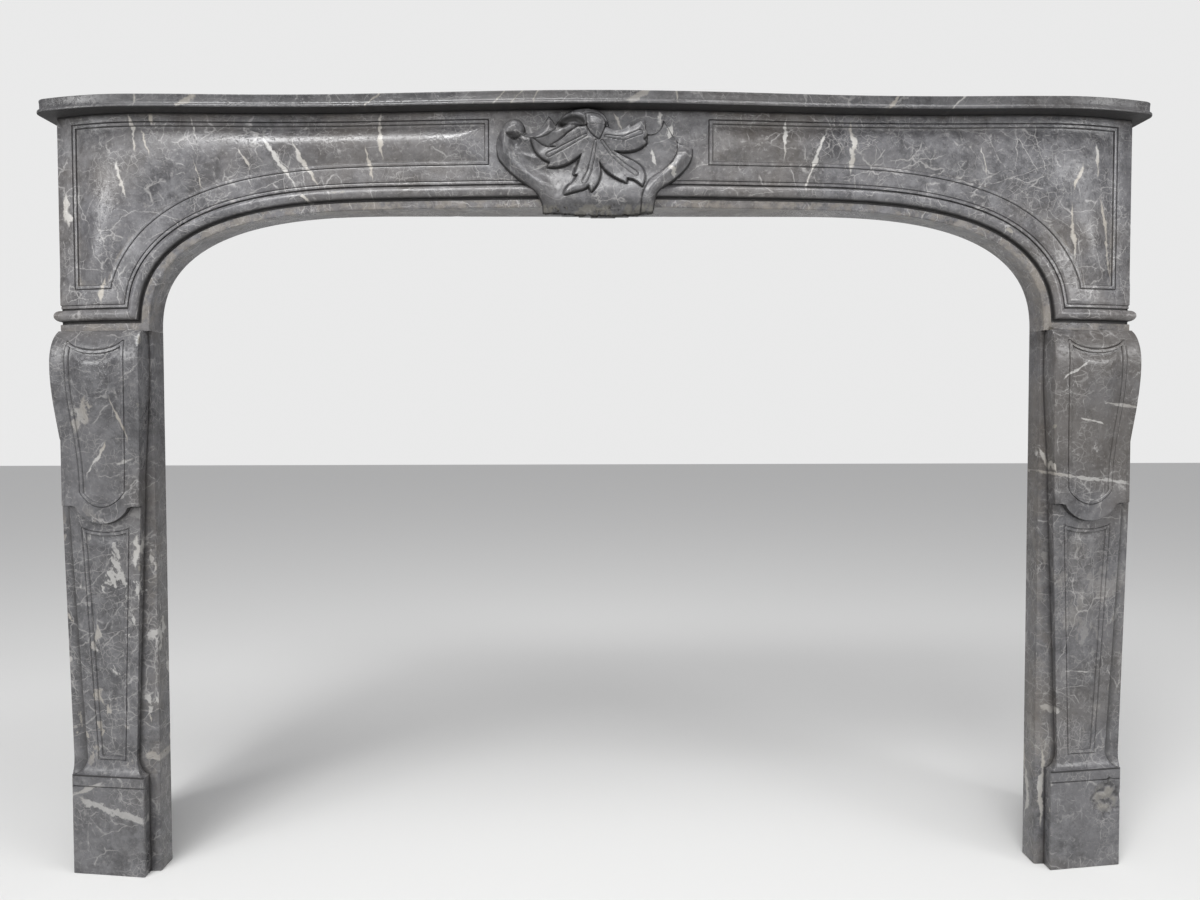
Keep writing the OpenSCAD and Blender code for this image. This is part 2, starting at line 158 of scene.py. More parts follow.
def relief_faces(rows, cols, start_back):
    """A front grid closed by the points of its border, repeated on a flat back."""
    faces = quads(rows, cols)
    border = list(range(cols)) + [r * cols + cols - 1 for r in range(1, rows)]
    border += [(rows - 1) * cols + c for c in range(cols - 2, -1, -1)]
    border += [r * cols for r in range(rows - 2, 0, -1)]
    back = {b: start_back + i for i, b in enumerate(border)}
    for i, a in enumerate(border):
        b = border[(i + 1) % len(border)]
        faces.append((a, b, back[b], back[a]))
    top = (rows - 1) * cols
    for c in range(1, cols - 2):
        faces.append((back[c], back[c + 1], back[top + c + 1], back[top + c]))
    for c, edge in ((0, 1), (cols - 1, cols - 2)):
        ring = [back[r * cols + c] for r in range(rows)] + [back[top + edge], back[edge]]
        faces.append(tuple(ring if c else ring[::-1])[::-1])
    return faces, border


# ---------- shelf ----------
# Its edge from the underside up: outward offset and height
EDGE = [(-6, 0), (3, 0), (4.7, 0.1), (5.3, 0.5), (5.5, 1.3), (5.5, 2.4), (5.3, 3.3),
        (4.7, 4.1), (3.8, 4.8), (3, 5.4), (2.5, 6.2), (2.3, 7.3), (2.3, 10), (2.4, 13),
        (2.6, 15.4), (2.9, 17), (2.8, 17.9), (2.2, 18.4), (1.2, 18.5), (-8, 18.5)]
CORNER_R = 12.0
FRONT_POINTS = 221
CORNER_STEPS = 12
SIDE_STEPS = 13


def shelf_path():
    """Lower edge of the shelf in plan, from the left wall round to the right wall."""
    s = np.linspace(-1, 1, FRONT_POINTS)
    x = (SHELF_HALF - CORNER_R) * (0.5 * np.sin(s * np.pi / 2) + 0.5 * s)
    turn = np.linspace(0, np.pi / 2, CORNER_STEPS + 1)[1:]
    corner = SHELF_HALF - CORNER_R * (1 - np.sin(turn))
    x = np.concatenate([-corner[::-1], x, corner])
    drop = CORNER_R * (1 - np.cos(turn))
    rounding = np.concatenate([drop[::-1], np.zeros(FRONT_POINTS), drop])
    front = np.stack([x, FRONT_Y + NOSE + plan(np.abs(x), SHELF_HALF) + rounding], 1)
    side_y = np.linspace(WALL_Y, front[0, 1], SIDE_STEPS + 1)[:-1]
    left = np.stack([np.full(SIDE_STEPS, x[0]), side_y], 1)
    right = np.stack([np.full(SIDE_STEPS, x[-1]), side_y[::-1]], 1)
    return np.concatenate([left, front, right])


def build_shelf():
    """The moulded edge swept round the path, closed by flat faces above, below and behind."""
    path = shelf_path()
    d = np.diff(path, axis=0)
    normal = np.stack([d[:, 1], -d[:, 0]], 1) / np.linalg.norm(d, axis=1)[:, None]
    before = np.concatenate([normal[:1], normal])
    after = np.concatenate([normal, normal[-1:]])
    miter = before + after
    miter /= np.maximum((miter * before).sum(1), 0.7)[:, None]
    rings, depth = [], []
    for out, up in EDGE:
        ring = path + miter * out
        ring[:, 1] = np.minimum(ring[:, 1], WALL_Y)
        rings.append(np.column_stack([ring, np.full(len(ring), LINTEL_TOP + up)]))
        depth.append(np.full(len(ring), 1.0 if out > 1 else 0.0))
    grid = np.array(rings)
    outward = np.column_stack([miter, np.zeros(len(path))])
    hit = chips(grid, 26, 3, 0.22) * np.array(depth)
    grid -= outward[None] * (hit * 1.6)[..., None]
    grid -= outward[None] * (0.25 * noise(grid, 40, 1))[..., None]
    rows, cols = len(EDGE), len(path)
    verts = grid.reshape(-1, 3)
    faces = quads(rows, cols, turned=True)
    faces.append(tuple(range(cols - 1, -1, -1)))
    faces.append(tuple(range((rows - 1) * cols, rows * cols)))
    faces.append(tuple(r * cols for r in range(rows)) + tuple(
        r * cols + cols - 1 for r in range(rows - 1, -1, -1)))
    # painted shade: the underside rows are marked to go near black
    under = np.array([1.0 if up < 0.2 else 0.0 for _, up in EDGE])
    return make("shelf_stone", verts, faces, {
        "shade_and_grime": np.repeat(under, cols), "wear": hit.ravel()}, "shelf")


# ---------- lintel ----------
BEAD_MID, BEAD_R = 23, 8
BEAD = BEAD_MID - BEAD_R * np.cos(np.linspace(0, np.pi, 15))
# Distances from the edge of the arch at which its moulding has a row of points
STOPS = np.concatenate([
    [0, 0.8, 2, 4, 7, 9.5, 10.6, 11.2, 12, 13.5, 14.5], BEAD,
    [31.8, 32.6, 33.2, 33.8, 35, 36.6, 37.4, 38, 38.6, 39.6, 43, 49, 55, 58.6, 59.6, 60.3,
     61, 61.8, 63, 64.4, 65.2, 66, 66.8, 68]])
ARCH_RISE = 171.0
ARCH_RUN = 380.0
PANEL_IN = 60
PANEL_LOW = 68
PANEL_END = 155.0
PANEL_TOP = 12
PANEL_SIDE = 25
RETURN_T = 45
FAR_OFF = 1e3
# Rows across the swelling field, as shares of its width, and round the panel's border
FIELD_PARTS = np.array([
    0.04, 0.09, 0.16, 0.24, 0.33, 0.42, 0.5, 0.58, 0.67, 0.76, 0.84, 0.91, 0.96])
EDGES = np.array([9, 7.8, 6.8, 6, 5.2, 4.4, 2.6, 1.8, 1, 0.3, -0.6, -1.6, -6])


def arch_at(z):
    """Point of the arch at the height z over its springing."""
    z = np.asarray(z, float)
    x = OPEN_HALF - ARCH_RUN + ARCH_RUN * np.maximum(0, 1 - (z / ARCH_RISE) ** 2.5) ** (1 / 3)
    return np.stack([x, z], -1)


def arch_point(t):
    """Point of the arch at the angle t, from 0 at the springing to a quarter turn."""
    c, s = np.maximum(0, np.cos(t)), np.maximum(0, np.sin(t))
    x = OPEN_HALF - ARCH_RUN + ARCH_RUN * c ** (2 / 3)
    return np.stack([x, ARCH_RISE * s ** (2 / 2.5)], -1)


def arch_normal(p):
    """Direction square to the arch at its points p, away from the opening."""
    a = np.maximum(0, p[:, 0] - OPEN_HALF + ARCH_RUN) / ARCH_RUN
    n = np.stack([3 / ARCH_RUN * a ** 2 + 1e-6,
                  2.5 / ARCH_RISE * (p[:, 1] / ARCH_RISE) ** 1.5 + 1e-6], 1)
    return n / np.linalg.norm(n, axis=1)[:, None]


def moulding(d):
    """Height of the arch moulding at a distance d from the edge, and the painted shade in its recess,
    on the bead's lower flank and in its grooves.
    """
    bead = 7.5 * np.sqrt(np.maximum(0, 1 - ((d - BEAD_MID) / BEAD_R) ** 2)) - 1
    h = np.where(d < 11.2, 0.0, np.where(d < 15, -3.4, np.where(d <= 31, bead, 0.0)))
    h = np.where((d > 31) & (d < 33.4), -3.2, h)
    h = np.where((d >= 33.4) & (d < 37.6), -0.9, h)
    h = h - 1.5 * hump(d - 38, 0.9)
    # painted shade under the bead, on its lower flank and in the grooves beside it
    shade_and_grime = 1.2 * hump(d - 13.4, 4) + 0.35 * hump(d - 17, 5)
    shade_and_grime = shade_and_grime + hump(d - 32.3, 2.2) + 0.8 * hump(d - 38, 1.2)
    return h, shade_and_grime


def panel_border(g):
    """Double line round a panel at a distance g inside its border, and the painted shade in its
    grooves.
    """
    h = -1.8 * hump(g - 0.4, 1.1) - 0.4 * smooth(g / 1.2) - 2.6 * smooth((g - 5) / 1.2)
    shade_and_grime = hump(g - 0.4, 1.4) + hump(g - 6.1, 1.4)
    return h, shade_and_grime


def lintel_grid():
    """Right half of the face, level by level over its stations.

    Gives x and z, the height of the relief, its painted shade, and the distances from the arch and
    inside the panel's border.
    """
    t0 = math.asin((PANEL_LOW / ARCH_RISE) ** 1.25)
    low = arch_at(STOPS)
    arc = arch_point(np.linspace(t0, np.pi / 2, 110)[1:])
    crown_x = np.concatenate([
        np.linspace(250, 176, 8), [171, 168, 165.5, 163.8, 162.6, 161.8, 161, 160.2, 159, 157,
         156.2, 155.4, 154.8, 154, 152], np.linspace(146, 0, 22)])
    crown = np.stack([crown_x, np.full(len(crown_x), ARCH_RISE)], 1)
    points = np.concatenate([low, arc, crown])
    normals = arch_normal(points)
    lift = smooth((points[:, 1] - 60) / 50)
    angle = np.arctan2(normals[:, 1], normals[:, 0]) * lift
    rays = np.stack([np.cos(angle), np.sin(angle)], 1)
    n_low = len(low)
    rays[:n_low] = [1, 0]
    rays[n_low + len(arc):] = [0, 1]

    def reach(box):
        """How far each ray runs before it meets a side of the box."""
        across = np.where(rays[:, 0] > 1e-6, (box[0] - points[:, 0]) / (rays[:, 0] + 1e-12), 1e9)
        up = np.where(rays[:, 1] > 1e-6, (box[1] - points[:, 1]) / (rays[:, 1] + 1e-12), 1e9)
        return np.minimum(across, up)

    outer = points + rays * reach((LINTEL_HALF, LINTEL_H))[:, None]
    corner = int(np.argmax(outer[:, 1] > LINTEL_H - 0.01))

    def on_box(box):
        """The ends of the rays on the box, with one moved to its corner."""
        p = points + rays * reach(box)[:, None]
        p[corner] = box
        return p

    stretch = 1 / (rays * normals).sum(1)
    inner = [points + rays * (d * stretch)[:, None] for d in STOPS]
    boxes = [on_box((LINTEL_HALF - PANEL_SIDE - e, LINTEL_H - PANEL_TOP - e)) for e in EDGES]
    boxes += [on_box((LINTEL_HALF - 0.8, LINTEL_H - 0.8)), on_box((LINTEL_HALF, LINTEL_H))]
    field = [lerp(inner[-1], boxes[0], t) for t in FIELD_PARTS]
    grid = np.array(inner + field + boxes)

    rows, cols = grid.shape[:2]
    station_z = np.append(STOPS, np.full(cols - n_low, FAR_OFF))
    d = np.full((rows, cols), FAR_OFF)
    d[:len(STOPS)] = STOPS[:, None]
    d = np.minimum(d, station_z[None])
    g = d - PANEL_IN
    first_box = len(STOPS) + len(FIELD_PARTS)
    g[first_box:first_box + len(EDGES)] = np.minimum(
        g[first_box:first_box + len(EDGES)], EDGES[:, None])
    g[first_box + len(EDGES):] = -5
    g = np.minimum(g, grid[..., 0] - PANEL_END)
    border, border_shade = panel_border(g)
    mould, moulding_shade = moulding(d)
    part = np.zeros((rows, cols))
    part[len(STOPS):first_box] = np.minimum(FIELD_PARTS, 1 - FIELD_PARTS)[:, None]
    swell = np.minimum(part / 0.5, np.clip((grid[..., 0] - PANEL_END - 6) / 50, 0, 1))
    swell = np.minimum(swell, np.clip((grid[..., 1] - 66) / 45, 0, 1))
    rise = border + mould + 7.5 * smooth(swell ** 0.7) * (g > 5)
    rise = np.where((grid[..., 0] > LINTEL_HALF - 0.5) | (grid[..., 1] > LINTEL_H - 0.5),
                    np.where(d < 100, rise, rise - 0.7), rise)
    rise[0] -= 1.4
    rise[1] -= 0.3
    return grid, rise, border_shade + moulding_shade, d, g


def build_lintel():
    """The front slab of the lintel, with worn edges, from one wall end to the other."""
    half, *rest = lintel_grid()

    def both(a):
        return np.concatenate([a, a[:, -2::-1]], axis=1)

    x = np.concatenate([-half[..., 0], half[:, -2::-1, 0]], axis=1)
    z = both(half[..., 1])
    rise, shade_and_grime, d, g = (both(a) for a in rest)
    y = FACE_Y + plan(np.abs(x), LINTEL_HALF) - rise
    side = np.abs(x) > LINTEL_HALF - 0.01
    x = x + np.sign(x) * np.where(side & (d < 100), np.maximum(rise, -2.4) + 0.4, 0)
    grid = np.stack([x, y, JOINT_Z + z], -1)
    broken = chips(grid, 22, 11, 0.35) * smooth((6 - d) / 6)
    grid[..., 1] += 3.0 * broken
    grid[..., 2] += 1.2 * broken
    bumped = chips(grid, 17, 14, 0.22) * hump(d - BEAD_MID, 9)
    grid[..., 1] += 1.6 * bumped
    grid[..., 1] += 0.5 * noise(grid, 60, 2) + 0.22 * noise(grid, 14, 3) - 0.35
    rows, cols = grid.shape[:2]
    verts = grid.reshape(-1, 3)
    faces, border = relief_faces(rows, cols, len(verts))
    back = verts[border].copy()
    back[:, 1] = REVEAL_Y
    verts = np.concatenate([verts, back])
    fillet = smooth((13 - d) / 3)
    lower = smooth((70 - (g + 2)) / 60) * (g > 5)
    low_panel = np.where(np.abs(x) > 600, smooth((200 - z) / 90), 0.25)
    stain = fillet * 0.7 + 0.55 * lower * low_panel + 0.5 * smooth((z - 299) / 5)
    # painted shadow of the shelf: the top of the frieze goes near black
    shade_and_grime = shade_and_grime + smooth((z - 304) / 2)
    tail = np.zeros(len(border))
    return make("lintel_stone", verts, faces, {
        "shade_and_grime": np.append(shade_and_grime.ravel(), tail),
        "wear": np.append((broken + bumped).ravel(), tail),
        "stain": np.append(stain.ravel(), tail)}, "lintel")


def build_return(side, name):
    """The end of the lintel: the same mouldings run back to the wall."""
    z = np.concatenate([STOPS, [80, 110, 150, 200, 250, 290, 302, 306.2, LINTEL_H]])
    d = np.where(z > PANEL_LOW + 1, FAR_OFF, z)
    rise, shade_and_grime = moulding(d)
    rise = np.where(z > LINTEL_H - 0.1, -0.7, rise)
    front = FACE_Y + float(plan(LINTEL_HALF, LINTEL_HALF))
    ys = np.concatenate([[0], np.linspace(1, WALL_Y - front, 34)])
    outer = np.zeros((len(z), len(ys), 3))
    outer[..., 0] = LINTEL_HALF + rise[:, None] + np.where(d < 100, 0.4, 0)[:, None]
    outer[..., 1] = front + ys[None]
    outer[:, 0, 1] -= rise
    outer[..., 2] = JOINT_Z + z[:, None]
    outer[..., 0] -= 0.4 * noise(outer, 30, 4) + 1.5 * chips(outer, 18, 9, 0.2)
    rear = np.zeros((len(z), 2, 3))
    rear[..., 0] = LINTEL_HALF - RETURN_T
    rear[:, 0, 1] = WALL_Y
    rear[:, 1, 1] = front + 8
    rear[..., 2] = JOINT_Z + z[:, None]
    rings = np.concatenate([outer, rear], axis=1)
    rings[..., 0] *= side
    cols = rings.shape[1]
    faces = ring_faces(len(z), cols, side)
    # painted shade of the mouldings, as on the lintel's front
    marks = np.repeat(shade_and_grime[:, None], cols, 1).ravel()
    stain = np.repeat(0.8 * smooth((13 - d) / 3)[:, None], cols, 1).ravel()
    return make(name, rings.reshape(-1, 3), faces, {"shade_and_grime": marks, "stain": stain}, "lintel")


# ---------- cartouche ----------
SHELL_MID = 235.0
SHELL_STRETCH = 1.018
VOLUTE_R = 14
CELL = 1.0
# Outlines in millimetres from the shell's middle: across and up
SHELL = [(-115, 57), (-125, 54), (-133, 47), (-138, 36), (-141, 25), (-141, 14), (-139, 3),
         (-133, -5), (-125, -14), (-114, -24), (-103, -32), (-94, -39), (-86, -46), (-81, -54),
         (-78, -63), (-78, -71), (-60, -73), (-30, -74), (0, -76), (30, -75), (60, -73),
         (75, -70), (76, -58), (78, -49), (84, -41), (94, -34), (103, -28), (112, -20),
         (121, -10), (127, 0), (129, 9), (130, 18), (122, 21), (114, 23), (108, 27),
         (102, 34), (97, 43), (89, 56), (88, 49), (84, 42), (77, 37), (67, 36), (64, 42),
         (63, 56), (54, 52), (44, 45), (42, 49), (33, 41), (22, 39), (14, 45), (12, 50),
         (7, 60), (-1, 66), (-12, 70), (-24, 69), (-38, 65), (-50, 58), (-57, 50), (-60, 46),
         (-63, 53), (-69, 60), (-73, 52), (-79, 44), (-88, 38), (-98, 36), (-102, 39),
         (-102, 46), (-107, 54)]
ACANTHUS = [(-27, 45), (-41, 36), (-53, 25), (-66, 19), (-58, 16), (-74, 16), (-92, 26),
            (-89, 14), (-80, 2), (-67, -5), (-70, -11), (-53, -11), (-37, -3), (-24, 7),
            (-29, -9), (-34, -22), (-29, -23), (-35, -34), (-45, -43), (-47, -51), (-33, -47),
            (-21, -44), (-14, -39), (-11, -47), (-4, -39), (1, -25), (2, -13), (0, -4),
            (10, -17), (24, -28), (37, -34), (38, -27), (48, -29), (59, -39), (63, -27),
            (60, -14), (52, -6), (34, 3), (20, 11), (36, 10), (53, 13), (65, 22), (60, 27),
            (66, 34), (65, 48), (63, 56), (54, 52), (44, 45), (42, 49), (33, 41), (22, 39),
            (10, 44)]
BUD = [(-17, 61), (-17, 51), (-16, 42), (-9, 33), (0, 27), (6, 38), (9, 49), (3, 58),
       (-7, 62)]
CRESCENT = [(-69, 60), (-61, 52), (-58, 45), (-62, 39), (-69, 33), (-80, 28), (-91, 27),
            (-103, 31), (-100, 35), (-88, 37), (-79, 44), (-73, 52)]
HORN = [(67, 35), (77, 36), (84, 42), (88, 49), (89, 56), (97, 43), (102, 33), (91, 27),
        (79, 23), (66, 22)]
VEINS = [[(-18, 32), (-40, 20), (-69, 5)], [(-5, 24), (-8, 6), (-13, -17), (-20, -33)],
         [(4, 24), (18, 5), (34, -9), (50, -21)], [(9, 30), (34, 27), (57, 36)]]
INNER_RIM = [(57, -72), (58, -54), (61, -43), (65, -35), (71, -27), (80, -21), (92, -12),
             (100, -4), (106, 7), (108, 19), (107, 27), (102, 33)]


def soften(points, turns=2):
    """Cuts the blunt corners of a closed outline, and leaves its sharp tips."""
    pts = np.array(points, float)
    for _ in range(turns):
        out = []
        for i, p in enumerate(pts):
            a, b = pts[i - 1], pts[(i + 1) % len(pts)]
            u, v = (a - p) / np.linalg.norm(a - p), (b - p) / np.linalg.norm(b - p)
            if u @ v > -0.35:
                out.append(p)
            else:
                out += [lerp(p, a, 0.25), lerp(p, b, 0.25)]
        pts = np.array(out)
    return pts


def line_distance(q, a, b):
    """Distance of points q from the segment a b, and how far along it they are."""
    ab = b - a
    t = np.clip(((q - a) @ ab) / (ab @ ab), 0, 1)
    return np.linalg.norm(q - a - t[..., None] * ab, axis=-1), t


def inside_by(q, outline, turns=2):
    """Signed distance of points q from a closed outline, positive inside it."""
    pts = soften(outline, turns)
    best = np.full(q.shape[:-1], 1e9)
    inside = np.zeros(q.shape[:-1], bool)
    for i in range(len(pts)):
        a, b = pts[i - 1], pts[i]
        best = np.minimum(best, line_distance(q, a, b)[0])
        over = (a[1] > q[..., 1]) != (b[1] > q[..., 1])
        slope = (b[0] - a[0]) / ((b[1] - a[1]) or 1e-9)
        inside ^= over & (q[..., 0] < a[0] + slope * (q[..., 1] - a[1]))
    return np.where(inside, best, -best)


def along_line(q, line):
    """Distance from a polyline, and the share of its length at the nearest point."""
    best = np.full(q.shape[:-1], 1e9)
    part = np.zeros(q.shape[:-1])
    for i in range(len(line) - 1):
        dist, t = line_distance(q, np.array(line[i], float), np.array(line[i + 1], float))
        near = dist < best
        best = np.where(near, dist, best)
        part = np.where(near, (i + t) / (len(line) - 1), part)
    return best, part


def carve_shell(q):
    """Distance inside the shell, height of its dish, apron and rims, and painted shade along its
    outline and in the groove by the right rim.
    """
    x, z = q[..., 0], q[..., 1]
    edge = inside_by(q, SHELL)
    h = 9 * smooth((edge + 1.2) / 2.4) + 5 * smooth(edge / 13)
    # the dish between the rims, and the apron that swells forwards below it
    centre = np.exp(-((x / 82) ** 2) - ((z - 2) / 36) ** 2)
    h = h - 6 * centre * smooth(edge / 25)
    apron = smooth((-z - 14) / 34) * smooth(edge / 6 + 0.3)
    h = h + 8 * apron - 15 * np.clip((-z - 54) / 22, 0, 1) ** 2
    # rolled rim on the left, from the volute down to the apron
    rolled = smooth((-x - 45) / 30)
    h = h + 6 * np.exp(-((edge - 11) / 8) ** 2) * rolled * smooth((z + 60) / 40)
    h = h - 2.5 * np.exp(-((edge - 27) / 6) ** 2) * rolled * smooth((40 - z) / 20)
    # rim on the right, outside the inner line
    rim = np.array(INNER_RIM, float)
    off = x - np.interp(z, rim[:, 1], rim[:, 0])
    band = smooth((off + 0.8) / 1.8) * smooth((28 - z) / 4) * smooth((z + 78) / 12)
    h = h + band * (3.5 + 3 * np.exp(-((off - 11) / 9) ** 2) - 9 * smooth((z - 2) / 20))
    groove = hump(off, 1.7) * (z < 33) * smooth((z + 76) / 10)
    return edge, h - 1.8 * groove, 1.4 * smooth((1.9 - edge) / 2.2) + groove


def carve_horns(q, h, shade_and_grime):
    """The sunk horn on the right and the raised crescent on the left, with painted shade round both
    outlines.
    """
    horn = inside_by(q, HORN)
    h = np.where(horn > -1, np.minimum(h, 8 - 3 * smooth((horn + 1) / 2)), h)
    shade_and_grime = shade_and_grime + 1.2 * hump(horn + 0.4, 1.6)
    crescent = inside_by(q, CRESCENT)
    h = np.where(crescent > -1, np.maximum(h - 3 * smooth((crescent + 1) / 2), 6) +
                 3.5 * smooth((crescent + 0.6) / 1.6), h)
    return h, shade_and_grime + 1.3 * hump(crescent + 0.3, 1.8)


def carve_leaves(q, h, shade_and_grime):
    """The acanthus spray, raised over the dish, with a channel down each leaf, and painted shade
    round the leaves, heavier on their lower edges, and in the channels.
    """
    leaf = inside_by(q, ACANTHUS, 1)
    radius = np.hypot(q[..., 0] + 4, q[..., 1] - 30)
    leaf_top = 4.2 + 1.2 * np.sin(np.clip(radius / 75, 0, 1) * np.pi)
    h = h + (leaf_top + 0.9 * smooth(leaf / 6)) * smooth((leaf + 0.7) / 1.5)
    # painted shade, heavier where a leaf's edge faces down, as if lit from above
    under = np.clip(np.gradient(leaf, axis=0), 0, 1)
    h = h - 1.8 * hump(leaf + 1.6, 1.7)
    shade_and_grime = shade_and_grime + (0.75 + 0.7 * under) * hump(leaf + 1.2, 1.7 + 0.8 * under)
    for line in VEINS:
        dist, part = along_line(q, line)
        width = lerp(1.7, 3.3, part)
        cut = hump(dist - width, 1.2) * (leaf > 1.5)
        h = h - 1.8 * cut - 0.6 * smooth(width - dist) * (leaf > 1.5)
        shade_and_grime = shade_and_grime + 0.85 * cut
    return h, shade_and_grime


def carve_hood(q, h, shade_and_grime):
    """A curl over the leaves with a hollow under its lip, and the bud before it, with painted shade
    in the hollow and round the bud.
    """
    x, z = q[..., 0], q[..., 1]
    hood = 1 - ((x + 20) / 40) ** 2 - ((z - 44) / 26) ** 2
    over = np.sqrt(np.maximum(hood, 0))
    upper = smooth((z - 40 - 0.12 * np.abs(x + 20)) / 8)
    h = np.maximum(h, (9 + 12 * over) * (over > 0) * upper)
    hollow = along_line(q, [(-50, 49), (-42, 54), (-32, 55), (-23, 50)])[0]
    deep = hump(hollow, 9) * smooth((z - 38) / 8)
    h = h - 9 * deep
    shade_and_grime = shade_and_grime + 1.2 * deep + 0.5 * hump(hollow - 8, 1.2)
    ridge = along_line(q, [(-59, 47), (-50, 56), (-36, 61), (-22, 57), (-16, 47)])[0]
    h = h + 1.6 * hump(ridge, 3.4)
    bud = inside_by(q, BUD)
    h = np.where(bud > 0, 19 + 4 * smooth(bud / 7) - 0.12 * np.abs(z - 46),
                 h - 2 * hump(bud + 0.8, 1.6))
    return h, shade_and_grime + hump(bud + 0.5, 1.4)


def carve_volute(q, h, shade_and_grime):
    """A round button at the left end, hollowed under its lower edge, with painted shade on that lower
    part and round the button.
    """
    x, z = q[..., 0], q[..., 1]
    ball = np.hypot(x + 116, z - 42)
    dome = 9 + 10 * np.sqrt(np.maximum(0, 1 - (ball / VOLUTE_R) ** 2))
    h = h - 7 * hump(np.hypot(x + 112, (z - 24) * 1.3), 12)
    h = np.where(ball < VOLUTE_R, np.maximum(h, dome), h)
    lid = smooth((38 - z - 0.015 * (x + 118) ** 2) / 4) * (ball < VOLUTE_R - 0.4)
    h = h - 6 * lid
    return h, shade_and_grime + 0.8 * lid + 1.1 * hump(ball - 14.4, 1.7) * (x > -127)


def cartouche_height(q):
    """Distance inside the shell, height over the lintel's face and painted shade, at points q."""
    q = q / [SHELL_STRETCH, 1]
    edge, h, shade_and_grime = carve_shell(q)
    for carve in (carve_horns, carve_leaves, carve_hood, carve_volute):
        h, shade_and_grime = carve(q, h, shade_and_grime)
    return edge, h, shade_and_grime


def build_cartouche():
    """The carving as a relief over a fine grid, cut out along the shell's outline."""
    xs = np.arange(-147, 137, CELL)
    zs = np.arange(-79.5, 72, CELL)
    q = np.stack(np.meshgrid(xs, zs), -1)
    edge, h, shade_and_grime = cartouche_height(q)
    place = np.stack([q[..., 0], np.zeros(edge.shape), q[..., 1]], -1)
    foot = smooth((-q[..., 1] - 52) / 14)
    worn = chips(place, 9, 21, 0.85) * smooth((-q[..., 1] - 60) / 8)
    h = h - 7 * worn - (0.5 + 1.5 * foot) * noise(place, 7, 6) - 0.5 * noise(place, 25, 7)
    # dark blotches over the foot, more towards its broken bottom
    shade_and_grime = shade_and_grime + 0.5 * foot * smooth(noise(place, 8, 9) * 2 - 0.6)
    y = FACE_Y + plan(np.abs(q[..., 0]), LINTEL_HALF) - h
    grid = np.stack([q[..., 0], y, JOINT_Z + SHELL_MID + q[..., 1]], -1)
    rows, cols = edge.shape
    keep = (edge > -1.3) & (q[..., 1] + SHELL_MID < LINTEL_H - 0.5)
    whole = keep[:-1, :-1] & keep[1:, :-1] & keep[:-1, 1:] & keep[1:, 1:]
    back = grid.copy()
    back[..., 1] = FACE_Y + 16
    verts = np.concatenate([grid.reshape(-1, 3), back.reshape(-1, 3)])
    total = rows * cols
    faces, sides = [], {}
    for r, c in zip(*np.nonzero(whole)):
        a = int(r * cols + c)
        ring = (a, a + 1, a + cols + 1, a + cols)
        faces.append(ring)
        faces.append(tuple(total + i for i in ring[::-1]))
        for i in range(4):
            u, v = ring[i], ring[(i + 1) % 4]
            if (v, u) in sides:
                del sides[(v, u)]
            else:
                sides[(u, v)] = True
    faces += [(v, u, total + u, total + v) for u, v in sides]
    used = np.unique([i for f in faces for i in f])
    index = np.zeros(len(verts), int)
    index[used] = np.arange(len(used))
    faces = [tuple(int(index[i]) for i in f) for f in faces]

    def pick(a):
        return np.concatenate([a.ravel(), np.zeros(a.size)])[used]

    return make("cartouche", verts[used], faces, {
        "shade_and_grime": pick(shade_and_grime), "wear": pick(worn * 0.7)}, "lintel", sharp=50)


# ---------- legs ----------
BASE_HALF = 55.7
BASE_H = 143.0
TURN = math.radians(8.3)
SCROLL_Z = 737.0
TONGUE_Z = 535.0
SHAFT_LOW = 168.0
SHAFT_MARGIN = 17.0
SCROLL_MARGIN = 22.5
RETURN_OUT = 776.0
RETURN_W = 36.0
LEG_X = OPEN_HALF + 69.5
LEG_Y = STRIP_Y - 14
SHAFT_NARROW = 17
SHAFT_BACK = 11.5
SCROLL_OUT = 13
SCROLL_WIDE = 12.5
SHAFT_PANEL = (164, 507)
SCROLL_PANEL = (570, 770)
RETURN_INSET = 8
BRUISE_AT = [744, -92, 101]
BRUISE_SIZE = [20, 24, 22]


def shaft_form(z):
    """Extra half width and outward place of the face below the tongue."""
    up = np.sqrt(1 - np.clip((SHAFT_LOW - z) / (SHAFT_LOW - BASE_H), 0, 1) ** 2)
    part = np.clip((z - SHAFT_LOW) / (TONGUE_Z - SHAFT_LOW), 0, 1)
    wide = np.where(z < SHAFT_LOW, -SHAFT_NARROW * up, lerp(-SHAFT_NARROW, 0, part))
    out = np.where(z < SHAFT_LOW, -SHAFT_BACK * up, lerp(-SHAFT_BACK, -5.5, part))
    return np.where(z <= BASE_H, 0, wide), np.where(z <= BASE_H, 0, out)


def scroll_form(z):
    """The same for the scroll, which swells and then rolls back under the lintel."""
    over = np.clip((z - SCROLL_Z) / (JOINT_Z + 1.5 - SCROLL_Z), 0, 1)
    roll = np.sqrt(np.maximum(0, 1 - over ** 2))
    grow = smooth((z - TONGUE_Z - 15) / (SCROLL_Z - TONGUE_Z - 15))
    wide = np.where(z < SCROLL_Z, lerp(1.5, SCROLL_WIDE, grow),
                    lerp(SCROLL_WIDE / 2, SCROLL_WIDE, roll))
    swell = SCROLL_OUT * smooth((z - TONGUE_Z - 35) / (SCROLL_Z - TONGUE_Z - 35))
    lip = 1.6 * smooth((TONGUE_Z + 30 - z) / 30)
    out = np.where(z < SCROLL_Z, swell + lip, lerp(-8, SCROLL_OUT, roll))
    return wide, out


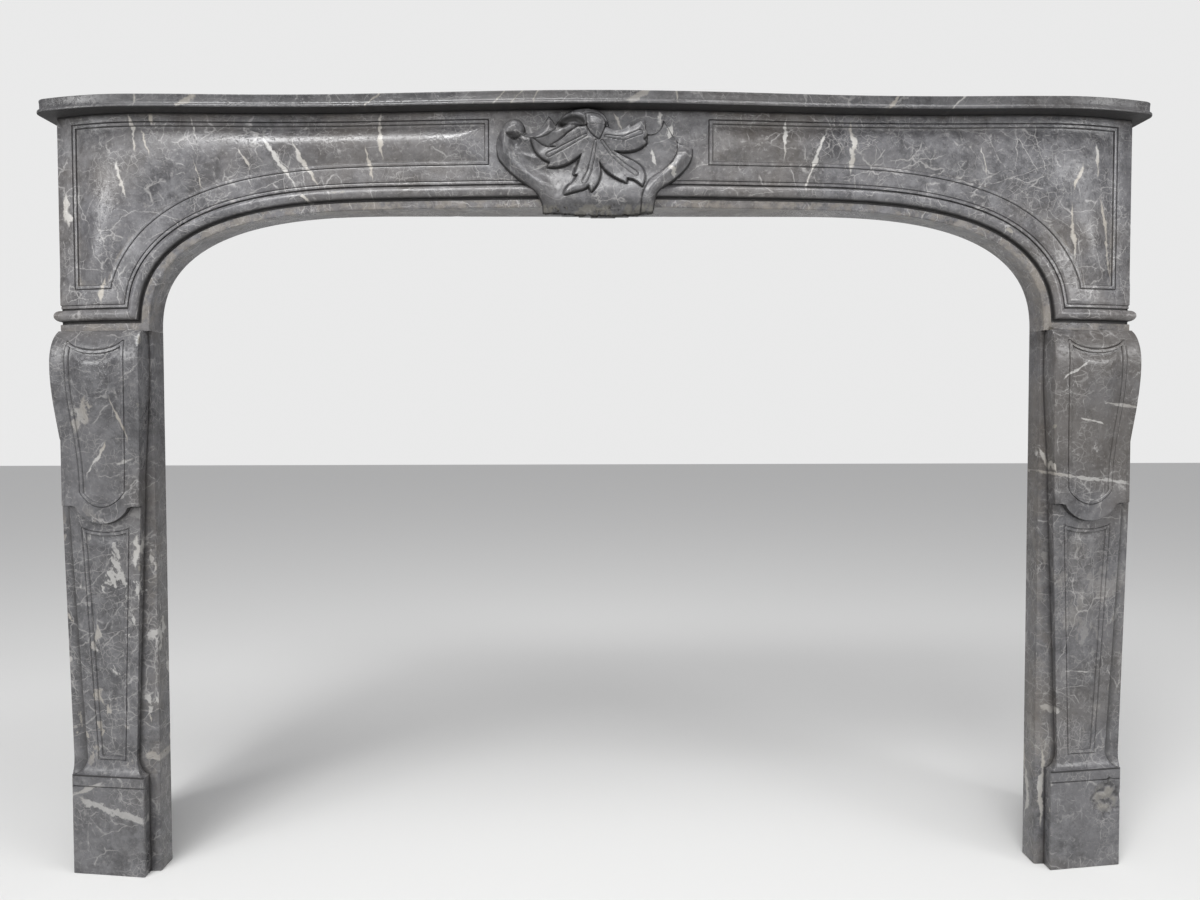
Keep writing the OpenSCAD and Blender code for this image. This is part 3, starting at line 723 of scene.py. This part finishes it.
def leg_rows():
    """Rows up the leg: height at the edges, sag at the middle, panel distance, scroll or shaft."""
    low = np.concatenate([
        [0, 0.7, 2, 3.6], np.arange(6, 124, 2.6),
        [125.5, 126.8, 127.6, 128.4, 129.4, 130.6, 136, 140.5, 142, 142.8, 143, 143.1, 143.3,
         143.7, 144.4, 145.5, 147, 149, 151.5, 154.5, 158, 161, 163.4, 164, 164.6, 165.4, 166,
         167, 168, 169, 170, 171, 172, 175, 180], np.linspace(187, 490, 42),
        [495, 498, 499.2, 500, 500.8, 502, 504, 505.4, 506.2, 507, 507.8, 510, 516, 524, 530,
         534, 534.9]])
    high = np.concatenate([
        [535, 535.5, 536.3, 538, 542, 550, 560, 566, 569, 570, 570.6, 571.4, 573, 574.6, 575.4,
         576, 576.8, 579], np.linspace(584, 752, 36),
        [757, 761, 763, 764, 764.8, 766, 767.6, 768.6, 769.4, 770, 770.8, 772, 774, 776, 778,
         780, 781.5, 782.8, 783.8, 784.5, 785]])
    sag_low = np.interp(low, [0, 440, 499, 508, 534], [0, 0, 9.5, 10, 25])
    sag_high = np.interp(high, [535, 558, 570, 578, 610, 640, 700, 735, 764, 770, 784], [
        25, 32, 37, 37, 14, 3, 0, 4, 13, 13, 0])
    g_low = np.minimum(low - SHAFT_PANEL[0], SHAFT_PANEL[1] - low)
    g_high = np.minimum(high - SCROLL_PANEL[0], SCROLL_PANEL[1] - high)
    return (np.concatenate([low, high]), np.concatenate([sag_low, sag_high]),
            np.concatenate([g_low, g_high]), np.arange(len(low) + len(high)) >= len(low))


def leg_face():
    """Carved front of the right leg: height of each row, points, distance from the sides, painted
    shade.
    """
    z_row, sag, g_row, high = leg_rows()
    side_margin = np.where(high, SCROLL_MARGIN, SHAFT_MARGIN)[:, None]
    edge = np.array([[0, 0.02, 0.07, 0.24, 0.5, 0.74, 0.9, 0.96]]) * side_margin
    lines = side_margin + [[0, 0.6, 1.4, 3, 4.6, 5.4, 6, 6.8, 8.5, 11]]
    gaps = np.concatenate([edge, lines], axis=1)
    inner = np.linspace(-1, 1, 25)[1:-1]
    half = BASE_HALF + np.where(high, scroll_form(z_row)[0], shaft_form(z_row)[0])
    x = np.concatenate([-half[:, None] + gaps, (half - gaps[:, -1])[:, None] * inner,
                        (half[:, None] - gaps)[:, ::-1]], axis=1)
    z = z_row[:, None] - sag[:, None] * np.maximum(0, 1 - (x / 41) ** 2) ** 0.7
    out = np.where(high[:, None], scroll_form(z)[1], shaft_form(z)[1])
    margin = half[:, None] - np.abs(x)
    g = np.minimum(margin - side_margin, g_row[:, None])
    border, shade_and_grime = panel_border(g)
    # painted shade in the panel lines, the groove across the base, and the creases over the base and
    # at the tongue
    shade_and_grime = shade_and_grime * 0.62
    out = out + border * np.where(g > -3, 1, 0) + 2.8 * smooth((g - 6) / 22) * (g > 5.5)
    out = out - 1.4 * (margin < 0.1) - 0.35 * ((margin > 0.1) & (margin < 0.9))
    top_band = hump(z_row - 128, 1.3)[:, None] * (~high)[:, None]
    out = out - 1.5 * top_band
    shade_and_grime = shade_and_grime * (g > -3) + top_band + hump(z_row - 143.2, 1.6)[:, None]
    shade_and_grime = shade_and_grime + hump(z_row - 534.5, 1.6)[:, None]
    px = LEG_X + math.cos(TURN) * x + math.sin(TURN) * out
    py = LEG_Y + math.sin(TURN) * x - math.cos(TURN) * out
    return z_row, np.stack([px, py, z], -1), margin, shade_and_grime


def leg_sides(z_row, face):
    """Columns of points before and after the face: the strip, the reveal and the return."""
    first, last = face[:, 0], face[:, -1]
    strip_y = STRIP_Y - 2.0 * (z_row < BASE_H - 0.1)
    back_y = np.maximum(last[:, 1] + 1, strip_y)
    side_x = np.where(z_row <= BASE_H, RETURN_OUT - RETURN_INSET, RETURN_OUT - RETURN_INSET * np.clip(
        (TONGUE_Z - z_row) / (TONGUE_Z - BASE_H), 0, 1))

    def column(px, py):
        return np.stack([px + 0 * z_row, py + 0 * z_row, z_row], -1)[:, None]

    joint_in = first[:, 0] + 0.5
    strip_in = OPEN_HALF + 1.4
    lead = [column(side_x - RETURN_W, REVEAL_Y), column(OPEN_HALF, REVEAL_Y),
            column(OPEN_HALF, (REVEAL_Y + strip_y) / 2), column(OPEN_HALF, strip_y + 1.3),
            column(OPEN_HALF + 0.4, strip_y + 0.3), column(strip_in, strip_y),
            column(lerp(strip_in, joint_in, 0.5), strip_y), column(joint_in, strip_y)]
    lead += [column(joint_in, lerp(strip_y, first[:, 1], t)) for t in (0.33, 0.66)]
    tail = [column(last[:, 0] + 0.5, lerp(last[:, 1], back_y, t)) for t in (0.33, 0.66, 1)]
    tail += [column(side_x - 1.3, back_y + 0.2), column(side_x - 0.3, back_y + 0.7),
             column(side_x, back_y + 1.8)]
    tail += [column(side_x, lerp(back_y + 2, WALL_Y, t)) for t in np.linspace(0.1, 1, 10)]
    tail += [column(side_x - RETURN_W, WALL_Y)]
    return lead, tail


def bruise(grid, seed):
    """The broken corner of the right base: where it is crushed pale, and where pitted."""
    away = np.linalg.norm((grid - BRUISE_AT) / BRUISE_SIZE, axis=-1)
    lumps = 0.5 * noise(grid, 9, seed) + 0.5 * noise(grid, 4.5, seed + 3)
    broken = smooth((1.45 - away) * 1.6 + (lumps - 0.5) * 1.6)
    return 0.42 * broken * smooth(1.9 - 2.4 * lumps), broken * smooth(1.5 * lumps - 0.2)


def build_leg(side, name, node, seed):
    """One leg: a closed ring of columns round it, with worn edges and a flat top and foot."""
    z_row, face, margin, shade_and_grime = leg_face()
    before, after = leg_sides(z_row, face)
    grid = np.concatenate(before + [face] + after, axis=1)
    rows, cols = grid.shape[:2]
    grid[..., 0] *= side
    lead = len(before)
    end = lead + face.shape[1]
    column = np.arange(cols)

    arris = np.zeros((rows, cols))
    arris[:, lead:end] = smooth((5 - margin) / 5)
    arris[:, 3:6] = 1
    foot = smooth((6 - z_row) / 6) + hump(z_row - 141, 5)
    arris = np.maximum(arris, foot[:, None] * (column < cols - 12))
    hit = chips(grid, 20, seed, 0.34) * arris
    pit = np.zeros((rows, cols))
    if side > 0:
        pale, pit = bruise(grid, seed)
        hit = np.maximum(hit, pale)
    grid[..., 1] += 2.0 * hit + 5.0 * pit
    grid[..., 0] -= side * 0.8 * hit * np.sign(column - lead - face.shape[1] / 2)
    uneven = 0.45 * noise(grid, 50, seed) + 0.2 * noise(grid, 12, seed + 1) - 0.3
    grid[..., 1] += uneven * (column < end)

    faces = ring_faces(rows, cols, side)
    marks = np.zeros((rows, cols))
    marks[:, lead:end] = shade_and_grime
    # the deepest pits of the bruise are darkened
    marks += 0.7 * smooth(3 * pit - 1.6)
    # painted shade down the corners where the face's sides meet the strip and the return
    marks[:, [7, end + 2]] = 0.8
    stain = np.zeros((rows, cols))
    stain[:, 2:8] = 0.55 * noise(grid[:, 2:8], 90, seed + 2)
    return make(name, grid.reshape(-1, 3), faces, {
        "shade_and_grime": marks.ravel(), "wear": hit.ravel(), "stain": stain.ravel()}, node)


# ---------- marble ----------
class Tree:
    """Short names for the nodes that the marble is made of."""

    def __init__(self, name):
        self.material = bpy.data.materials.new(name)
        self.material.use_nodes = True
        self.nodes = self.material.node_tree.nodes
        self.links = self.material.node_tree.links
        self.shader = self.nodes["Principled BSDF"]

    def put(self, socket, value):
        """Links an output to the socket, or sets the socket to a plain value."""
        if hasattr(value, "is_output"):
            self.links.new(value, socket)
        else:
            socket.default_value = value

    def math(self, kind, a, b=0.0):
        node = self.nodes.new("ShaderNodeMath")
        node.operation = kind
        self.put(node.inputs[0], a)
        self.put(node.inputs[1], b)
        return node.outputs[0]

    def spread(self, value, low, high, to_low=0.0, to_high=1.0):
        """The value from low to high, spread smoothly from to_low to to_high."""
        node = self.nodes.new("ShaderNodeMapRange")
        node.interpolation_type = "SMOOTHSTEP"
        for i, v in enumerate((value, low, high, to_low, to_high)):
            self.put(node.inputs[i], v)
        return node.outputs[0]

    def place(self, vector, scale, turn=(0, 0, 0), move=(0, 0, 0)):
        node = self.nodes.new("ShaderNodeMapping")
        self.put(node.inputs["Vector"], vector)
        self.put(node.inputs["Scale"], scale)
        self.put(node.inputs["Rotation"], turn)
        self.put(node.inputs["Location"], move)
        return node.outputs[0]

    def noise(self, vector, scale, detail=4.0, rough=0.5, bend=0.0):
        node = self.nodes.new("ShaderNodeTexNoise")
        self.put(node.inputs["Vector"], vector)
        for key, v in (("Scale", scale), ("Detail", detail), ("Roughness", rough),
                       ("Distortion", bend)):
            self.put(node.inputs[key], v)
        return node.outputs[0]

    def crack(self, vector, scale, width):
        """1 along the borders of random cells, falling to 0 over width."""
        node = self.nodes.new("ShaderNodeTexVoronoi")
        node.feature = "DISTANCE_TO_EDGE"
        self.put(node.inputs["Vector"], vector)
        self.put(node.inputs["Scale"], scale)
        return self.spread(node.outputs["Distance"], 0.0, width, 1.0, 0.0)

    def warp(self, vector, scale, amount):
        """The vector pushed about by noise of that scale, by up to half the amount."""
        node = self.nodes.new("ShaderNodeTexNoise")
        self.put(node.inputs["Vector"], vector)
        self.put(node.inputs["Scale"], scale)
        self.put(node.inputs["Detail"], 3.0)
        vector = self.place(vector, (1, 1, 1), (0, 0, 0), (-amount / 2,) * 3)
        push = self.nodes.new("ShaderNodeVectorMath")
        push.operation = "MULTIPLY_ADD"
        self.put(push.inputs[0], node.outputs["Color"])
        self.put(push.inputs[1], (amount, amount, amount))
        self.put(push.inputs[2], vector)
        return push.outputs[0]

    def axis(self, vector, index):
        node = self.nodes.new("ShaderNodeSeparateXYZ")
        self.put(node.inputs[0], vector)
        return node.outputs[index]

    def mix(self, share, a, b):
        node = self.nodes.new("ShaderNodeMix")
        node.data_type = "RGBA"
        self.put(node.inputs[0], share)
        self.put(node.inputs[6], a)
        self.put(node.inputs[7], b)
        return node.outputs[2]

    def mark(self, name):
        """A value stored on the vertices: painted shade with some dark blotches, wear or stain."""
        node = self.nodes.new("ShaderNodeAttribute")
        node.attribute_name = name
        return node.outputs["Fac"]


def rgb(r, g, b):
    return (r, g, b, 1.0)


# The smallest width of the paler, broader veins, in metres
BROAD_VEIN = 0.015


def marble(name, move, tilt, warm, streaks, painted_shade_share=0.0, patches=0.0):
    """Veined grey marble. move picks the part of the block, tilt the lean of its veins.

    warm is the share of brown, the argument after the streaks the share of painted shade that darkens
    the whole piece, and patches of white patches. Each streak is a
    single vein in the XZ plane: x and z of its top, x and z of its foot, width, in metres.
    """
    t = Tree(name)
    coords = t.nodes.new("ShaderNodeTexCoord").outputs["Object"]
    at = t.place(coords, (1, 1, 1), (0, tilt, 0), move)
    bent = t.warp(t.warp(t.warp(at, 7.0, 0.03), 40.0, 0.014), 130.0, 0.004)

    # ground: fine light and dark grain with cooler and browner areas
    broad = t.noise(at, 6.0, 6.0, 0.6, 0.5)
    grain = t.noise(bent, 40.0, 9.0, 0.78)
    tone = t.mix(t.spread(grain, 0.34, 0.68), rgb(0.048, 0.047, 0.051), rgb(0.182, 0.181, 0.189))
    tone = t.mix(t.spread(broad, 0.42, 0.64, 0.0, 0.45), tone, rgb(0.172, 0.169, 0.177))
    brown = t.spread(t.noise(at, 3.6, 5.0, 0.6), 0.44, 0.66, 0.0, 0.45 * warm)
    tone = t.mix(brown, tone, rgb(0.12, 0.104, 0.087))
    speck = t.spread(t.noise(at, 190.0, 3.0, 0.6), 0.56, 0.7, 0.0, 0.4)
    tone = t.mix(speck, tone, rgb(0.3, 0.29, 0.285))
    level = t.axis(coords, 2)
    zone = t.math("MULTIPLY", t.spread(level, 0.12, 0.2), t.spread(level, 0.56, 0.44))

    # a net of thin pale cracks, drawn only in places, and longer slanting ones
    for vector, scale, width, low, strength in (
            (bent, 13.0, 0.01, 0.53, 0.35), (bent, 34.0, 0.022, 0.53, 0.3),
            (bent, 95.0, 0.06, 0.5, 0.4),
            (t.place(bent, (1.0, 1.0, 0.35), (0, 0.45, 0)), 30.0, 0.024, 0.51, 0.6),
            (t.place(bent, (0.35, 1.0, 1.0), (0, 0.3, 0)), 38.0, 0.03, 0.5, 0.55)):
        net = t.crack(vector, scale, width)
        patch = t.noise(at, min(scale * 0.55, 22.0), 4.0, 0.6)
        if patches and scale > 25:
            patch = t.math("ADD", patch, t.math("MULTIPLY", zone, 0.06 * patches))
        patch = t.spread(patch, low, low + 0.09)
        net = t.math("MULTIPLY", net, t.math("MULTIPLY", patch, strength))
        tone = t.mix(net, tone, rgb(0.43, 0.42, 0.41))

    # white and cream patches on the lower leg
    cream = t.mix(t.spread(t.noise(at, 9.0), 0.42, 0.62), rgb(0.55, 0.54, 0.52),
                  rgb(0.42, 0.39, 0.345))
    if patches:
        blob = t.noise(t.place(bent, (1.0, 1.0, 0.6)), 34.0, 4.0, 0.6)
        blob = t.math("MULTIPLY", t.spread(blob, 0.585, 0.62), t.math("MULTIPLY", zone, patches))
        tone = t.mix(t.math("MULTIPLY", blob, 0.75), tone, cream)

    # single bold veins with ragged edges, which wander and die away behind the front face
    wavy = t.warp(t.warp(coords, 16.0, 0.024), 80.0, 0.008)
    behind = t.spread(t.axis(coords, 1), -0.08, 0.05)
    drift = t.math("SUBTRACT", t.noise(coords, 5.0), 0.5)
    drift = t.math("MULTIPLY", drift, t.math("MULTIPLY", behind, 0.6))
    across = t.math("ADD", t.axis(wavy, 0), drift)
    ahead = t.math("SUBTRACT", 1.0, behind)
    ragged = t.spread(t.noise(coords, 75.0, 4.0, 0.6), 0.36, 0.64, 0.25, 1.35)
    for x0, z0, x1, z1, width in streaks:
        part = t.spread(level, z0, z1)
        middle = t.math("ADD", t.math("MULTIPLY", part, x1 - x0), x0)
        away = t.math("ABSOLUTE", t.math("SUBTRACT", across, middle))
        taper = t.math("MULTIPLY", part, t.math("SUBTRACT", 1.0, part))
        half = t.math("MULTIPLY", t.spread(taper, 0.0, 0.2, 0.0, width / 2), ragged)
        edge = t.math("SUBTRACT", away, half)
        soft = 0.0005 + width * 0.12
        full = 0.9 if width < BROAD_VEIN else 0.6
        streak = t.math("MULTIPLY", t.spread(edge, -soft, soft, full, 0.0),
                        t.math("MULTIPLY", ahead, t.spread(taper, 0.0, 0.05)))
        tone = t.mix(streak, tone, cream)

    # ochre staining, pale chips, and near black painted shade in the grooves, under the shelf, round
    # the carving and in corners, with some dark blotches
    blot = t.spread(t.noise(at, 38.0, 7.0, 0.75), 0.45, 0.58)
    stain = t.math("MULTIPLY", t.mark("stain"), t.math("MULTIPLY", blot, 0.55 * warm))
    tone = t.mix(stain, tone, rgb(0.25, 0.222, 0.185))
    chip = t.math("MULTIPLY", t.spread(t.mark("wear"), 0.12, 0.5), 0.5)
    tone = t.mix(chip, tone, rgb(0.33, 0.31, 0.26))
    # painted shade: the whole piece darkened towards black by its set share
    if painted_shade_share:
        tone = t.mix(painted_shade_share, tone, rgb(0.01, 0.01, 0.01))
    # near black painted shade, with some dark blotches, from the vertex mark
    shade_and_grime_share = t.math("MULTIPLY", t.spread(t.mark("shade_and_grime"), 0.2, 1.0), 0.88)
    tone = t.mix(shade_and_grime_share, tone, rgb(0.01, 0.009, 0.009))
    t.put(t.shader.inputs["Base Color"], tone)

    smear = t.noise(at, 7.0, 5.0, 0.6)
    rough = t.spread(smear, 0.3, 0.72, 0.2, 0.4)
    rough = t.math("ADD", rough, t.math("MULTIPLY", t.math("ADD", chip, shade_and_grime_share), 0.4))
    t.put(t.shader.inputs["Roughness"], rough)
    t.put(t.shader.inputs["Specular IOR Level"], 0.65)
    bump = t.nodes.new("ShaderNodeBump")
    bump.inputs["Strength"].default_value = 0.35
    bump.inputs["Distance"].default_value = 0.0006
    pits = t.spread(t.noise(at, 170.0, 4.0, 0.6), 0.3, 0.5)
    height = t.math("ADD", pits, t.math("MULTIPLY", t.noise(at, 45.0, 5.0), 1.4))
    t.put(bump.inputs["Height"], height)
    t.links.new(bump.outputs[0], t.shader.inputs["Normal"])
    return t.material


# ---------- the pieces ----------
LINTEL_VEINS = [
    (-0.664, 1.098, -0.654, 1.03, 0.0055), (-0.634, 1.098, -0.632, 1.072, 0.005),
    (-0.647, 1.073, -0.633, 1.028, 0.0035), (-0.682, 1.03, -0.669, 0.968, 0.0065),
    (-0.574, 1.03, -0.568, 0.98, 0.002), (-0.576, 1.09, -0.57, 1.05, 0.0025),
    (-0.476, 1.068, -0.431, 0.975, 0.0075), (-0.437, 1.062, -0.4, 0.98, 0.0065),
    (-0.422, 0.979, -0.408, 0.96, 0.007), (-0.51, 1.045, -0.495, 1.01, 0.003),
    (-0.31, 1.1, -0.304, 1.02, 0.008), (-0.33, 1.05, -0.318, 0.99, 0.004),
    (-0.706, 0.866, -0.712, 0.822, 0.008), (-0.769, 0.99, -0.764, 0.93, 0.013),
    (0.262, 1.09, 0.262, 1.02, 0.006), (0.322, 1.08, 0.292, 0.97, 0.006),
    (0.357, 1.09, 0.362, 1.0, 0.008), (0.719, 1.06, 0.717, 1.0, 0.0055),
    (0.727, 0.99, 0.745, 0.845, 0.006), (0.693, 1.03, 0.68, 0.98, 0.004),
    (0.68, 0.975, 0.692, 0.875, 0.005), (0.018, 1.09, 0.03, 1.06, 0.007),
    (0.1, 1.074, 0.098, 1.046, 0.007), (0.074, 1.038, 0.083, 1.008, 0.005),
    (0.098, 1.016, 0.106, 0.992, 0.007), (0.082, 1.092, 0.085, 1.068, 0.008),
    (0.545, 1.05, 0.556, 1.0, 0.003)]
SHELF_VEINS = [
    (-0.55, 1.125, -0.585, 1.085, 0.012), (0.075, 1.125, 0.04, 1.085, 0.016),
    (-0.122, 1.125, -0.146, 1.085, 0.0035), (-0.096, 1.125, -0.126, 1.085, 0.004),
    (-0.078, 1.125, -0.09, 1.085, 0.004), (0.43, 1.125, 0.405, 1.085, 0.008),
    (-0.648, 1.125, -0.646, 1.085, 0.003), (0.105, 1.12, 0.11, 1.09, 0.003),
    (0.52, 1.125, 0.49, 1.085, 0.004), (-0.3, 1.125, -0.33, 1.085, 0.004)]
LEFT_VEINS = [
    (-0.76, 0.118, -0.655, 0.072, 0.045), (-0.72, 0.14, -0.79, 0.098, 0.02),
    (-0.725, 0.7, -0.748, 0.632, 0.024), (-0.7, 0.635, -0.735, 0.568, 0.006),
    (-0.662, 0.606, -0.688, 0.592, 0.02), (-0.66, 0.5, -0.665, 0.44, 0.01),
    (-0.67, 0.62, -0.69, 0.7, 0.004), (-0.655, 0.178, -0.64, 0.16, 0.03)]
RIGHT_VEINS = [
    (0.63, 0.586, 0.775, 0.558, 0.036), (0.725, 0.683, 0.785, 0.67, 0.03),
    (0.65, 0.19, 0.652, 0.04, 0.007), (0.655, 0.24, 0.665, 0.222, 0.02),
    (0.69, 0.66, 0.73, 0.648, 0.012), (0.7, 0.745, 0.66, 0.71, 0.006),
    (0.68, 0.29, 0.73, 0.283, 0.02), (0.64, 0.62, 0.655, 0.575, 0.006)]
# the shelf, cartouche and legs are copies of the marble darkened as painted shade; the lintel is not
marble_shelf = marble("marble_shelf", (3.1, 0.4, 1.7), 0.4, 0.8, SHELF_VEINS, 0.5)
marble_lintel = marble("marble_lintel", (0.2, 2.9, 0.6), 0.2, 1.1, LINTEL_VEINS)
marble_shell = marble("marble_shell", (0.2, 2.9, 0.6), 0.2, 0.6, LINTEL_VEINS, 0.28)
marble_left = marble("marble_left", (5.3, 1.2, 4.4), 0.2, 1.0, LEFT_VEINS, 0.3, 1.0)
marble_right = marble("marble_right", (7.7, 6.1, 2.5), -0.15, 1.2, RIGHT_VEINS, 0.26, 0.25)

pieces = [
    (build_shelf(), marble_shelf),
    (build_lintel(), marble_lintel),
    (build_return(1, "lintel_right_end"), marble_lintel),
    (build_return(-1, "lintel_left_end"), marble_lintel),
    (build_cartouche(), marble_shell),
    (build_leg(-1, "left_leg_stone", "left_leg", 31), marble_left),
    (build_leg(1, "right_leg_stone", "right_leg", 41), marble_right),
]
for piece, material in pieces:
    piece.data.materials.append(material)


# ---------- floor, light and camera ----------
def plain(name, colour, rough):
    t = Tree(name)
    t.put(t.shader.inputs["Base Color"], colour)
    t.put(t.shader.inputs["Roughness"], rough)
    return t.material


def plane(name, corners, material):
    mesh = bpy.data.meshes.new(name)
    mesh.from_pydata(corners, [], [tuple(range(len(corners)))])
    mesh.materials.append(material)
    thing = bpy.data.objects.new(name, mesh)
    bpy.context.scene.collection.objects.link(thing)


FAR = 12.0
FLOOR_Z = -0.0005
plane("floor", [(-FAR, -FAR, FLOOR_Z), (FAR, -FAR, FLOOR_Z), (FAR, FAR, FLOOR_Z),
                (-FAR, FAR, FLOOR_Z)], plain("floor_pale", rgb(0.74, 0.74, 0.73), 0.7))

scene = bpy.context.scene
world = bpy.data.worlds.new("studio")
scene.world = world
world.use_nodes = True
studio = world.node_tree
background = studio.nodes["Background"]
path = studio.nodes.new("ShaderNodeLightPath")
seen = studio.nodes.new("ShaderNodeMix")
seen.data_type = "RGBA"
seen.inputs[6].default_value = rgb(0.3, 0.3, 0.31)
seen.inputs[7].default_value = rgb(0.82, 0.82, 0.82)
studio.links.new(path.outputs["Is Camera Ray"], seen.inputs[0])
studio.links.new(seen.outputs[2], background.inputs[0])
background.inputs[1].default_value = 1.0


def lamp(name, place, target, width, height, watts):
    data = bpy.data.lights.new(name, "AREA")
    data.shape = "RECTANGLE"
    data.size, data.size_y, data.energy = width, height, watts
    thing = bpy.data.objects.new(name, data)
    thing.location = place
    aim = Vector(target) - Vector(place)
    thing.rotation_euler = aim.to_track_quat("-Z", "Y").to_euler()
    scene.collection.objects.link(thing)
    return thing


lamp("key", (-1.0, -2.3, 3.3), (0, 0, 0.7), 1.2, 0.8, 45)
lamp("top", (0.5, -0.9, 3.1), (0, 0, 0.8), 2.2, 0.4, 30)
lamp("front", (0.0, -3.3, 2.1), (0, 0, 0.9), 2.8, 0.9, 13)
lamp("soft", (0.4, -3.3, 1.5), (0, 0, 0.8), 2.6, 1.0, 14).visible_glossy = False
lamp("left", (-3.2, -2.6, 1.75), (-0.7, 0, 0.7), 1.3, 1.1, 27)
lamp("right", (3.2, -2.6, 1.75), (0.7, 0, 0.7), 1.3, 1.1, 27)
sky = bpy.data.lights.new("sky", "SUN")
sky.energy, sky.angle = 1.1, math.radians(28)
sun = bpy.data.objects.new("sky", sky)
sun.rotation_euler = Vector((0.45, 1.0, -1.3)).to_track_quat("-Z", "Y").to_euler()
scene.collection.objects.link(sun)

camera = bpy.data.cameras.new("camera")
camera.sensor_width = 36.0
camera.lens = 27.66
viewer = bpy.data.objects.new("camera", camera)
viewer.location = (-0.016, -1.415, 0.658)
viewer.rotation_euler = (math.radians(88.08), math.radians(0.11), math.radians(-0.73))
scene.collection.objects.link(viewer)
scene.camera = viewer
scene.view_settings.view_transform = "Standard"
